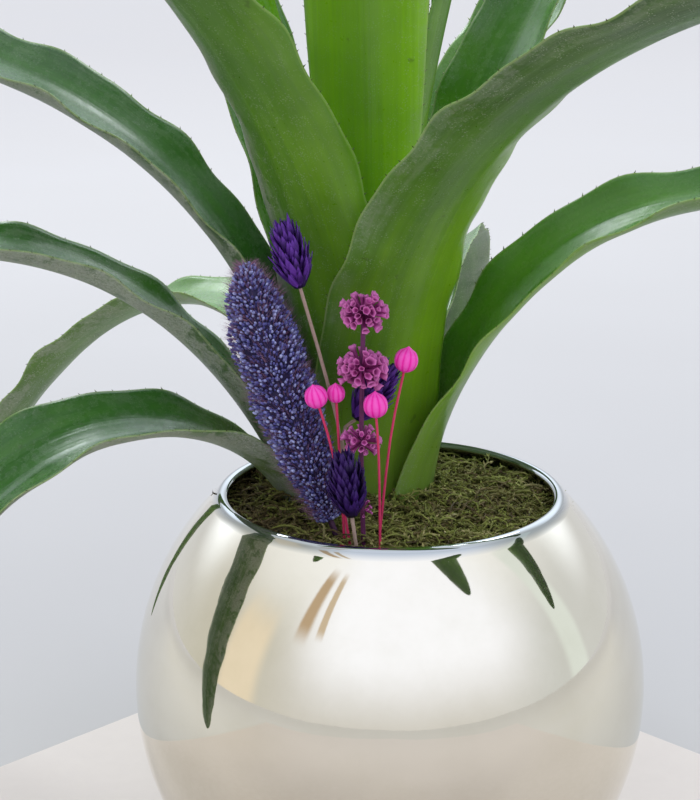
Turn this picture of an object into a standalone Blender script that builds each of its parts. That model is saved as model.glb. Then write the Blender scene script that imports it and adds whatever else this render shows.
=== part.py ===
"""A potted bromeliad in a mirrored glass fishbowl vase, with dried flowers pushed into the moss.

Metres, +Z up. The origin is the centre of the vase's flat base, and the front of the arrangement,
where the dried flowers stand, faces -Y. Each leaf, stem and flower head is its own closed solid.
"""

import math

import bmesh
import bpy
import numpy as np
from mathutils import Vector

GAP = 0.0003  # between pieces that touch

# Vase: a glass bowl, nearly a ball, cut by a flat base below and a round mouth above.
BOWL_RADIUS = 0.100
BOWL_HALF_HEIGHT = 0.104
BASE_RADIUS = 0.045
MOUTH_RADIUS = 0.067
GLASS = 0.003
FLOOR = 0.006
VASE_SIDES = 48
WALL_STEPS = 12
MIX_STEPS = 9

# Filling: the potting mix, and the moss that lies on it with a hole round the rosette.
MOSS_BELOW_RIM = 0.012
MOSS_DEPTH = 0.0095
MOSS_CROWN = 0.003
MOSS_HOLE_CLEARANCE = 0.009
STEM_HOLE_CLEARANCE = 0.0010
MOSS_RINGS = 5
ROSETTE_HOLE_SIDES = 32
STEM_HOLE_SIDES = 8

# Rosette: leaves on nested rings round a short stem base. Ring 0 is the outermost. The rosette
# stands towards the back, as far as its outer ring can while it clears the mouth.
ROSETTE_X = -0.011
ROSETTE_BACK_CLEARANCE = 0.0055
FOOT_CLEARANCE = 0.0011
OUTER_RING_RADIUS = 0.027
INNER_RING_RADIUS = 0.0086
INNER_RING = 8
RING_PITCH = (OUTER_RING_RADIUS - INNER_RING_RADIUS) / INNER_RING
LEAF_THICKNESS = 0.0011
LEAF_STATIONS = 13
LEAF_STRIPS = 8
TAPER_START = 0.45
TIP_HALF_WIDTH = 0.0012
CAUDEX_RADIUS = 0.006
CAUDEX_HEIGHT = 0.030

# Each leaf: the ring that it sits on, its length and greatest width, the way it points (degrees
# from +X, seen from above) at its base, middle and tip, its lean from upright at five even
# stations, half the angle that its sheath wraps, its roll towards one margin, the length over
# which the sheath opens into the blade, and the radius of the blade's channel.
LEAVES = {
    "leaf_front_left_low": dict(
        ring=0, length=0.30, width=0.050, heading=(212, 208, 205), lean=(26, 74, 124, 148, 155), wrap=48,
        roll=(0, -10, -25),
    ),
    "leaf_right_arching": dict(
        ring=0, length=0.40, width=0.042, heading=(-22, -14, -12), lean=(6, 38, 86, 100, 118), wrap=50,
        channel=0.024, roll=(0, 30, 5, -40, -30),
    ),
    "leaf_left_middle": dict(
        ring=1, length=0.36, width=0.050, heading=(192, 188, 186), lean=(20, 45, 84, 96, 112), wrap=44
    ),
    "leaf_back_right_wide": dict(
        ring=3, length=0.38, width=0.046, heading=(64, 56, 48), lean=(4, 30, 48, 62, 80), wrap=38
    ),
    "leaf_front_right": dict(
        ring=2, length=0.42, width=0.056, heading=(-75, -48, -38), lean=(2, 28, 56, 76, 88), wrap=70,
        opening=0.06, channel=0.045,
    ),
    "leaf_back_left_hanging": dict(
        ring=0, length=0.34, width=0.046, heading=(122, 152, 162), lean=(-3, 70, 120, 144, 152), wrap=28
    ),
    "leaf_left_upper": dict(
        ring=3, length=0.40, width=0.052, heading=(184, 172, 172), lean=(4, 28, 62, 84, 92), wrap=55,
        roll=(0, -8, -22),
    ),
    "leaf_back_hanging": dict(
        ring=1, length=0.34, width=0.048, heading=(72, 80, 88), lean=(2, 58, 100, 128, 142), wrap=42
    ),
    "leaf_front_left": dict(
        ring=4, length=0.42, width=0.058, heading=(244, 222, 206), lean=(2, 18, 40, 57, 72), wrap=75,
        opening=0.10, channel=0.040,
    ),
    "leaf_back_right_upper": dict(
        ring=4, length=0.40, width=0.045, heading=(38, 41, 38), lean=(2, 19, 36, 51, 66), wrap=38
    ),
    "leaf_back_left_upper": dict(
        ring=5, length=0.38, width=0.045, heading=(130, 126, 120), lean=(2, 20, 34, 46, 60), wrap=52
    ),
    "leaf_right_inner": dict(
        ring=7, length=0.34, width=0.036, heading=(2, -4, -8), lean=(1, 5, 10, 16, 28), wrap=50,
        opening=0.22, channel=0.022,
    ),
    "leaf_front_centre": dict(
        ring=6, length=0.38, width=0.052, heading=(276, 262, 262), lean=(1, 5, 8, 12, 25), wrap=62,
        opening=0.28, channel=0.050,
    ),
    "leaf_back_inner": dict(
        ring=6, length=0.35, width=0.048, heading=(85, 80, 78), lean=(1, 9, 17, 26, 40), wrap=62,
        opening=0.20,
    ),
    "leaf_left_inner": dict(
        ring=7, length=0.30, width=0.032, heading=(170, 166, 162), lean=(1, 6, 13, 22, 34), wrap=58,
        opening=0.22, channel=0.024,
    ),
    "leaf_core": dict(
        ring=8, length=0.26, width=0.034, heading=(40, 44, 48), lean=(0, 2, 4, 7, 15), wrap=66,
        opening=0.22,
    ),
}

# Dried flowers, pushed into the moss in front of the rosette. A place is its X, its distance
# behind a front line, and its height over the edge of the moss. The front line lies this depth
# ahead of the rosette. A stem's route runs from its foot, which has no height of its own, to the
# underside of its head.
FLOWERS_DEPTH = 0.067
STEM_BURIED = 0.006
FOXTAIL_STEM = [(-0.0200, 0.0380), (-0.0232, 0.0380, 0.0110)]
FOXTAIL_STEM_RADIUS = 0.0012
FOXTAIL_HEAD = [
    (-0.0233, 0.0380, 0.0114),
    (-0.0311, 0.0380, 0.0340),
    (-0.0405, 0.0380, 0.0610),
    (-0.0487, 0.0380, 0.0870),
    (-0.0529, 0.0380, 0.1075),
]
FOXTAIL_HEAD_RADIUS = 0.0125
FOXTAIL_HEAD_SHAPE = (0.35, 0.80, 1.00, 0.95, 0.55)

# Canary grass: three stems, each with an egg-shaped head that carries on in its last direction.
CANARY_STEM_RADIUS = 0.0007
CANARY_HEAD_LENGTH = 0.029
CANARY_HEAD_RADIUS = 0.0082
CANARY_GRASS = {
    "upper": [
        (-0.0165, 0.0350), (-0.0189, 0.0350, 0.0410), (-0.0243, 0.0350, 0.0665), (-0.0334, 0.0350, 0.0995),
    ],
    "middle": [(-0.0140, 0.0405), (-0.0185, 0.0415, 0.0405), (-0.0135, 0.0425, 0.0480)],
    "front": [(-0.0125, 0.0150), (-0.0149, 0.0140, 0.0202)],
}

# Whorled stem: an upright stem that passes through four rings of dried calyces.
WHORL_STEM = [(-0.0105, 0.0278), (-0.0115, 0.0278, 0.0420), (-0.0108, 0.0278, 0.0920)]
WHORL_STEM_RADIUS = 0.0010
WHORL_CLEARANCE = 0.0005
WHORLS = {
    "whorl_top": dict(rise=0.0945, radius=0.0090, depth=0.0120),
    "whorl_upper": dict(rise=0.0715, radius=0.0098, depth=0.0110),
    "whorl_lower": dict(rise=0.0445, radius=0.0072, depth=0.0130),
    "whorl_lowest": dict(rise=0.0185, radius=0.0040, depth=0.0080),
}

# Flax: thin stems with one round pod each.
FLAX_STEM_RADIUS = 0.0005
FLAX_PODS = {
    "right": dict(
        pod_radius=0.0044, route=[(-0.0050, 0.0310), (-0.0010, 0.0300, 0.0440), (0.0038, 0.0300, 0.0698)]
    ),
    "centre": dict(
        pod_radius=0.0045, route=[(-0.0045, 0.0230), (-0.0052, 0.0220, 0.0390), (-0.0062, 0.0215, 0.0552)]
    ),
    "left": dict(
        pod_radius=0.0042, route=[(-0.0152, 0.0280), (-0.0218, 0.0260, 0.0400), (-0.0267, 0.0220, 0.0590)]
    ),
    "left_behind": dict(
        pod_radius=0.0034, route=[(-0.0175, 0.0300), (-0.0200, 0.0290, 0.0490), (-0.0205, 0.0280, 0.0590)]
    ),
}


def smoothed(values, fractions):
    """Catmull-Rom interpolation through evenly spaced values, read at fractions from 0 to 1."""
    points = np.asarray(values, float)
    last = len(points) - 1
    place = np.clip(np.asarray(fractions, float), 0.0, 1.0) * last
    low = np.clip(np.floor(place).astype(int), 0, last - 1)
    f = place - low
    before = points[np.clip(low - 1, 0, last)]
    here = points[low]
    there = points[low + 1]
    after = points[np.clip(low + 2, 0, last)]
    if points.ndim == 2:
        f = f[:, None]
    return 0.5 * (
        2 * here
        + (there - before) * f
        + (2 * before - 5 * here + 4 * there - after) * f**2
        + (3 * here - before - 3 * there + after) * f**3
    )


def material(name, colour, roughness, metallic=0.0):
    """A Principled material with one colour, roughness and metallic value."""
    made = bpy.data.materials.new(name)
    made.use_nodes = True
    shader = made.node_tree.nodes["Principled BSDF"]
    shader.inputs["Base Color"].default_value = (*colour, 1.0)
    shader.inputs["Roughness"].default_value = roughness
    shader.inputs["Metallic"].default_value = metallic
    return made


def add_object(name, data, finish, smooth=True):
    """Links a mesh or curve as a named object that wears one material."""
    made = bpy.data.objects.new(name, data)
    bpy.context.scene.collection.objects.link(made)
    data.materials.append(finish)
    if smooth and made.type == "MESH":
        data.shade_smooth()
        data.set_sharp_from_angle(angle=math.radians(40))
    return made


def spun_mesh(name, profile, sides, closed=False):
    """A mesh turned about Z from a profile of (radius, height) points.

    An open profile starts and ends on the axis. A closed one never meets it and makes a ring.
    """
    bm = bmesh.new()
    points = [bm.verts.new((radius, 0.0, height)) for radius, height in profile]
    pairs = list(zip(points[:-1], points[1:]))
    if closed:
        pairs.append((points[-1], points[0]))
    edges = [bm.edges.new(pair) for pair in pairs]
    bmesh.ops.spin(
        bm,
        geom=points + edges,
        axis=(0.0, 0.0, 1.0),
        cent=(0.0, 0.0, 0.0),
        steps=sides,
        angle=math.tau,
        use_merge=True,
    )
    bmesh.ops.remove_doubles(bm, verts=bm.verts, dist=1e-6)
    bmesh.ops.recalc_face_normals(bm, faces=bm.faces)
    mesh = bpy.data.meshes.new(name)
    bm.to_mesh(mesh)
    bm.free()
    return mesh


def bowl_centre_height():
    """Height of the bowl's widest ring, set by where the flat base cuts it."""
    return BOWL_HALF_HEIGHT * math.sqrt(1.0 - (BASE_RADIUS / BOWL_RADIUS) ** 2)


def rim_height():
    """Height where the outside of the bowl has narrowed to the mouth."""
    return bowl_centre_height() + BOWL_HALF_HEIGHT * math.sqrt(1.0 - (MOUTH_RADIUS / BOWL_RADIUS) ** 2)


def bowl_radius_at(height, inset=0.0):
    """Radius of the bowl's wall at a height, measured that far inside its outer face."""
    reach = (height - bowl_centre_height()) / (BOWL_HALF_HEIGHT - inset)
    return (BOWL_RADIUS - inset) * math.sqrt(max(0.0, 1.0 - reach**2))


def mouth_inner_radius():
    """Radius of the free opening inside the mouth."""
    return bowl_radius_at(rim_height(), GLASS)


def wall_facet_depth():
    """How far the flat facets of the bowl's inner wall stand inside its true curve."""
    return BOWL_RADIUS * (1.0 - math.cos(math.pi / 2 / WALL_STEPS))


def moss_edge_top():
    """Height of the moss where it meets the glass."""
    return rim_height() - MOSS_BELOW_RIM


def mix_top():
    """Height of the potting mix's flat top, under the moss."""
    return moss_edge_top() - MOSS_DEPTH


def rosette_centre():
    """(x, y) of the rosette's axis."""
    return ROSETTE_X, mouth_inner_radius() - ROSETTE_BACK_CLEARANCE - OUTER_RING_RADIUS


def flowers_front():
    """Y of the line that the dried flowers are measured from, in front of the rosette."""
    return rosette_centre()[1] - OUTER_RING_RADIUS - FLOWERS_DEPTH


def wall_profile(low, high, inset, steps):
    """(radius, height) points up the bowl's wall, evenly spaced in angle."""
    half = BOWL_HALF_HEIGHT - inset
    start = math.asin((low - bowl_centre_height()) / half)
    end = math.asin((high - bowl_centre_height()) / half)
    angles = [start + (end - start) * i / steps for i in range(steps + 1)]
    return [
        ((BOWL_RADIUS - inset) * math.cos(a), bowl_centre_height() + half * math.sin(a)) for a in angles
    ]


def build_vase(finish):
    """The glass bowl: outer wall, rounded lip, inner wall and inner floor in one turned profile."""
    rim = rim_height()
    outside = wall_profile(0.0, rim, 0.0, WALL_STEPS)
    inside = wall_profile(FLOOR, rim, GLASS, WALL_STEPS)
    lip_outer = outside[-1]
    lip_inner = inside[-1]
    middle = (lip_outer[0] + lip_inner[0]) / 2
    lip = [
        (lip_outer[0] - GLASS * 0.15, rim + GLASS * 0.30),
        (middle, rim + GLASS * 0.45),
        (lip_inner[0] + GLASS * 0.15, rim + GLASS * 0.30),
    ]
    profile = [(0.0, 0.0)] + outside + lip + inside[::-1] + [(0.0, FLOOR)]
    return add_object("vase", spun_mesh("vase", profile, VASE_SIDES), finish)


def build_potting_mix(finish):
    """The mix fills the bowl from its floor to just under the moss."""
    inset = GLASS + wall_facet_depth() + GAP
    top = mix_top()
    profile = [(0.0, FLOOR + GAP)] + wall_profile(FLOOR + GAP, top, inset, MIX_STEPS) + [(0.0, top)]
    return add_object("potting_mix", spun_mesh("potting_mix", profile, VASE_SIDES), finish)


def moss_top_at(x, y):
    """Height of the moss, which is domed towards the middle of the bowl."""
    share = min(1.0, math.hypot(x, y) / bowl_radius_at(moss_edge_top(), GLASS))
    return moss_edge_top() + MOSS_CROWN * (1.0 - share**2)


def cutter(name, mesh, location=(0.0, 0.0, 0.0)):
    """A guide object that only cuts others."""
    made = bpy.data.objects.new(name, mesh)
    bpy.context.scene.collection.objects.link(made)
    made.location = location
    made.hide_render = True
    made.display_type = "WIRE"
    return made


def subtract(target, tool):
    """An exact Boolean cut that stays live on the target."""
    cut = target.modifiers.new(tool.name, "BOOLEAN")
    cut.operation = "DIFFERENCE"
    cut.solver = "EXACT"
    cut.object = tool


def cut_round_hole(target, name, x, y, radius, sides):
    """A round hole down through the moss."""
    middle = moss_edge_top()
    reach = 2 * (MOSS_DEPTH + MOSS_CROWN)
    outline = [(0.0, -reach), (radius, -reach), (radius, reach), (0.0, reach)]
    subtract(target, cutter(name, spun_mesh(name, outline, sides), (x, y, middle)))


def build_moss(finish, stem_feet):
    """A domed layer on the mix, open round the rosette, with a hole for each dried stem."""
    bottom = mix_top() + GAP
    edge = bowl_radius_at(moss_edge_top(), GLASS + wall_facet_depth() + GAP)
    radii = [edge * i / MOSS_RINGS for i in range(MOSS_RINGS + 1)]
    top = [(radius, moss_top_at(radius, 0.0)) for radius in radii]
    profile = [(0.0, bottom), (edge, bottom)] + top[::-1]
    moss = add_object("moss", spun_mesh("moss", profile, VASE_SIDES), finish)
    x, y = rosette_centre()
    cut_round_hole(moss, "rosette_hole", x, y, OUTER_RING_RADIUS + MOSS_HOLE_CLEARANCE, ROSETTE_HOLE_SIDES)
    for name, (x, y, radius) in stem_feet.items():
        cut_round_hole(moss, name, x, y, radius + STEM_HOLE_CLEARANCE, STEM_HOLE_SIDES)
    return moss


def leaf_sheet(spec):
    """A grid of points over a leaf's middle surface, one row for each station along it."""
    t = np.linspace(0.0, 1.0, LEAF_STATIONS + 1)
    lean = np.radians(smoothed(spec["lean"], t))
    turn = np.radians(smoothed(spec["heading"], t))
    flat = np.stack([np.cos(turn), np.sin(turn), np.zeros_like(t)], 1)
    up = np.array([0.0, 0.0, 1.0])
    along = flat * np.sin(lean)[:, None] + up * np.cos(lean)[:, None]
    level_side = np.stack([-np.sin(turn), np.cos(turn), np.zeros_like(t)], 1)
    level_inner = np.cross(along, level_side)
    roll = np.radians(smoothed(spec.get("roll", (0.0, 0.0, 0.0)), t))[:, None]
    side = level_side * np.cos(roll) + level_inner * np.sin(roll)
    inner = level_inner * np.cos(roll) - level_side * np.sin(roll)

    ring_radius = OUTER_RING_RADIUS - spec["ring"] * RING_PITCH
    foot = np.array([*rosette_centre(), mix_top() + FOOT_CLEARANCE]) + flat[0] * ring_radius
    steps = (along[1:] + along[:-1]) / 2 * spec["length"] / LEAF_STATIONS
    line = np.vstack([foot, foot + np.cumsum(steps, axis=0)])

    opening = np.clip(t * spec["length"] / spec.get("opening", 0.10), 0.0, 1.0)
    opening = opening**2 * (3 - 2 * opening)
    past = np.clip((t - TAPER_START) / (1.0 - TAPER_START), 0.0, 1.0)
    blade_half = np.maximum(spec["width"] / 2 * np.sqrt(1.0 - past**2.2), TIP_HALF_WIDTH)
    sheath_half = math.radians(spec["wrap"]) * ring_radius
    half = sheath_half + (blade_half - sheath_half) * opening
    channel = ring_radius + (spec.get("channel", 0.034) - ring_radius) * opening

    across = np.linspace(-1.0, 1.0, LEAF_STRIPS + 1)
    angle = across[None, :] * (half / channel)[:, None]
    sideways = (channel[:, None] * np.sin(angle))[..., None]
    inwards = (channel[:, None] * (1.0 - np.cos(angle)))[..., None]
    return line[:, None] + side[:, None] * sideways + inner[:, None] * inwards


def build_leaf(name, spec, finish):
    """One leaf, from its sheath to its tip: a bent sheet with an even thickness."""
    grid = leaf_sheet(spec)
    bm = bmesh.new()
    rows = [[bm.verts.new(Vector(point)) for point in row] for row in grid]
    for lower, upper in zip(rows[:-1], rows[1:]):
        for i in range(LEAF_STRIPS):
            bm.faces.new((lower[i], lower[i + 1], upper[i + 1], upper[i]))
    mesh = bpy.data.meshes.new(name)
    bm.to_mesh(mesh)
    bm.free()
    leaf = add_object(name, mesh, finish, smooth=False)
    mesh.shade_smooth()
    thickness = leaf.modifiers.new("thickness", "SOLIDIFY")
    thickness.thickness = LEAF_THICKNESS
    thickness.offset = 0.0
    thickness.use_rim = True
    return leaf


def build_caudex(finish):
    """The short stem base that the innermost leaves close round."""
    top = CAUDEX_HEIGHT
    r = CAUDEX_RADIUS
    profile = [(0.0, 0.0), (r, 0.0), (r, top * 0.5), (r * 0.7, top * 0.85), (r * 0.3, top), (0.0, top)]
    stem = add_object("stem_base", spun_mesh("stem_base", profile, 16), finish)
    stem.location = (*rosette_centre(), mix_top() + GAP)
    return stem


def placed(point):
    """World coordinates of a dried flower's (x, distance behind the front line, rise)."""
    x, behind, rise = point
    return x, flowers_front() + behind, moss_edge_top() + rise


def foot_of(route):
    """World X and Y of a stem's foot."""
    x, behind = route[0]
    return x, flowers_front() + behind


def full_route(route):
    """A stem's route in world coordinates, upright in the moss from its buried foot."""
    x, y = foot_of(route)
    surface = moss_top_at(x, y)
    return [(x, y, surface - STEM_BURIED), (x, y, surface)] + [placed(point) for point in route[1:]]


def build_tube(name, points, radius, finish, shape=(1.0,), sides=1, steps_per_point=3):
    """A round solid along a smooth route. shape scales its radius evenly from end to end."""
    count = (len(points) - 1) * steps_per_point
    t = np.linspace(0.0, 1.0, count + 1)
    line = smoothed(points, t)
    scale = smoothed(shape, t) if len(shape) > 1 else np.ones_like(t)
    curve = bpy.data.curves.new(name, "CURVE")
    curve.dimensions = "3D"
    curve.bevel_depth = radius
    curve.bevel_resolution = sides
    curve.use_fill_caps = True
    spline = curve.splines.new("POLY")
    spline.points.add(count)
    for point, place, width in zip(spline.points, line, scale):
        point.co = (*place, 1.0)
        point.radius = width
    return add_object(name, curve, finish)


def build_head(name, base, direction, length, radius, finish, sides=14, steps=8, fullest=0.45):
    """An egg-shaped head whose underside sits on a point, along a direction."""
    profile = []
    for i in range(steps + 1):
        share = i / steps
        bulge = math.sin(math.pi * share ** (math.log(0.5) / math.log(fullest)))
        profile.append((radius * bulge if 0 < i < steps else 0.0, length * share))
    head = add_object(name, spun_mesh(name, profile, sides), finish)
    head.rotation_mode = "QUATERNION"
    head.rotation_quaternion = Vector(direction).to_track_quat("Z", "Y")
    head.location = Vector(base) + Vector(direction).normalized() * GAP
    return head


def build_whorl(name, spec, centre, finish):
    """A ring of calyces round the stem, with a bore that clears it."""
    bore = WHORL_STEM_RADIUS + WHORL_CLEARANCE
    reach = spec["radius"] - bore
    half = spec["depth"] / 2
    steps = 10
    profile = [(bore, -half * 0.6)]
    for i in range(steps + 1):
        angle = -math.pi / 2 + math.pi * i / steps
        profile.append((bore + reach * (0.25 + 0.75 * math.cos(angle)), half * math.sin(angle)))
    profile.append((bore, half * 0.6))
    whorl = add_object(name, spun_mesh(name, profile, 18, closed=True), finish)
    whorl.location = centre
    return whorl


def route_point_at(points, height):
    """Where a smooth upright route passes a height."""
    line = smoothed(points, np.linspace(0.0, 1.0, 200))
    return line[np.argmin(np.abs(line[:, 2] - height))]


def build_dried_flowers():
    """Every dried stem and head. Returns each stem foot's (x, y, radius)."""
    foxtail_blue = material("foxtail_blue", (0.075, 0.075, 0.22), 0.75)
    straw_violet = material("straw_violet", (0.20, 0.12, 0.22), 0.70)
    canary_violet = material("canary_violet", (0.07, 0.012, 0.19), 0.60)
    straw_beige = material("straw_beige", (0.50, 0.36, 0.30), 0.65)
    whorl_mauve = material("whorl_mauve", (0.26, 0.055, 0.20), 0.70)
    flax_pink = material("flax_pink", (0.85, 0.02, 0.28), 0.45)
    stem_pink = material("stem_pink", (0.75, 0.12, 0.20), 0.55)
    feet = {}

    route = full_route(FOXTAIL_STEM)
    build_tube("foxtail_stem", route, FOXTAIL_STEM_RADIUS, straw_violet)
    build_tube(
        "foxtail_head", [placed(point) for point in FOXTAIL_HEAD], FOXTAIL_HEAD_RADIUS, foxtail_blue,
        FOXTAIL_HEAD_SHAPE, sides=3,
    )
    feet["foxtail_hole"] = (*foot_of(FOXTAIL_STEM), FOXTAIL_STEM_RADIUS)

    for name, short_route in CANARY_GRASS.items():
        route = full_route(short_route)
        build_tube(f"canary_grass_stem_{name}", route, CANARY_STEM_RADIUS, straw_beige)
        direction = Vector(route[-1]) - Vector(route[-2])
        build_head(
            f"canary_grass_head_{name}", route[-1], direction, CANARY_HEAD_LENGTH,
            CANARY_HEAD_RADIUS, canary_violet,
        )
        feet[f"canary_hole_{name}"] = (*foot_of(short_route), CANARY_STEM_RADIUS)

    route = full_route(WHORL_STEM)
    build_tube("whorl_stem", route, WHORL_STEM_RADIUS, whorl_mauve)
    for name, spec in WHORLS.items():
        build_whorl(name, spec, route_point_at(route, moss_edge_top() + spec["rise"]), whorl_mauve)
    feet["whorl_hole"] = (*foot_of(WHORL_STEM), WHORL_STEM_RADIUS)

    for name, spec in FLAX_PODS.items():
        route = full_route(spec["route"])
        build_tube(f"flax_stem_{name}", route, FLAX_STEM_RADIUS, stem_pink)
        direction = Vector(route[-1]) - Vector(route[-2])
        diameter = 2 * spec["pod_radius"]
        build_head(
            f"flax_pod_{name}", route[-1], direction, diameter * 1.1, spec["pod_radius"], flax_pink,
            sides=12, steps=7, fullest=0.48,
        )
        feet[f"flax_hole_{name}"] = (*foot_of(spec["route"]), FLAX_STEM_RADIUS)
    return feet


def main():
    for old in list(bpy.data.objects):
        bpy.data.objects.remove(old, do_unlink=True)
    mirror_glass = material("mirror_glass", (0.86, 0.85, 0.82), 0.06, 1.0)
    mix_brown = material("mix_brown", (0.045, 0.028, 0.018), 0.95)
    moss_green = material("moss_green", (0.09, 0.085, 0.022), 0.95)
    leaf_green = material("leaf_green", (0.075, 0.20, 0.025), 0.38)

    build_vase(mirror_glass)
    build_potting_mix(mix_brown)
    feet = build_dried_flowers()
    build_moss(moss_green, feet)
    build_caudex(leaf_green)
    for name, spec in LEAVES.items():
        build_leaf(name, spec, leaf_green)


main()
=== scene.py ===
"""The looks of a potted bromeliad in a mirrored glass bowl, with dyed dried flowers in its moss.

Metres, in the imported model's frame: +Z up, the origin at the centre of the bowl's flat base, and
the dried flowers at the front, towards -Y. Each piece here stands for a CAD node and keeps its
place and size, with the fine surface that the CAD solid leaves out.
"""

import math

import bpy
import numpy as np
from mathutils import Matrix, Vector


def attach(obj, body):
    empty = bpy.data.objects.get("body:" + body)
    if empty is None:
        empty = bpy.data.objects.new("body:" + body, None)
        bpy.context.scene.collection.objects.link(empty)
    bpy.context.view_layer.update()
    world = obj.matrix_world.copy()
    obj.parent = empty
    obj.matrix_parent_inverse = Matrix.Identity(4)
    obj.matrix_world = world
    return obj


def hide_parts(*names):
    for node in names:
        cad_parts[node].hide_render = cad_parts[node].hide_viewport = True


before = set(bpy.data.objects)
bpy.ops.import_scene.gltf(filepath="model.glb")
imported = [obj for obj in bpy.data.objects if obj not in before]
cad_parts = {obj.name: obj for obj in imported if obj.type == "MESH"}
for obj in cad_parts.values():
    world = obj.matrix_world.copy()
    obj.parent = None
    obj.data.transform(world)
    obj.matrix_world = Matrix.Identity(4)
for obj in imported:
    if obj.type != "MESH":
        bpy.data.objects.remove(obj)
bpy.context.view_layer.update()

BODY = "root"
SEED = 7
UP = np.array([0.0, 0.0, 1.0])

# ---- camera

CAMERA_PLACE = (-0.0156, -0.683, 0.4026)
CAMERA_BELOW_LEVEL = 15.93
CAMERA_LENS = 84.0
CAMERA_SENSOR = 36.0


def add_object(name, data):
    """A new object in the scene."""
    made = bpy.data.objects.new(name, data)
    bpy.context.scene.collection.objects.link(made)
    return made


def add_camera():
    """The camera looks along +Y and a little down, from in front of the dried flowers."""
    data = bpy.data.cameras.new("camera")
    data.lens = CAMERA_LENS
    data.sensor_width = CAMERA_SENSOR
    camera = add_object("camera", data)
    camera.location = CAMERA_PLACE
    camera.rotation_euler = (math.radians(90 - CAMERA_BELOW_LEVEL), 0.0, 0.0)
    bpy.context.scene.camera = camera


add_camera()

# ---- sizes, as in the CAD source

BOWL_RADIUS = 0.100
BOWL_HALF_HEIGHT = 0.104
BASE_RADIUS = 0.045
MOUTH_RADIUS = 0.067
GLASS = 0.003
FLOOR = 0.006
MOSS_BELOW_RIM = 0.012
MOSS_DEPTH = 0.0095
MOSS_CROWN = 0.003
ROSETTE_X = -0.011
ROSETTE_BACK_CLEARANCE = 0.0055
FLOWERS_DEPTH = 0.067
FOOT_CLEARANCE = 0.0011
OUTER_RING_RADIUS = 0.027
INNER_RING_RADIUS = 0.0086
INNER_RING = 8
RING_PITCH = (OUTER_RING_RADIUS - INNER_RING_RADIUS) / INNER_RING
TAPER_START = 0.45
TIP_HALF_WIDTH = 0.0012
STEM_BURIED = 0.006

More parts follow.
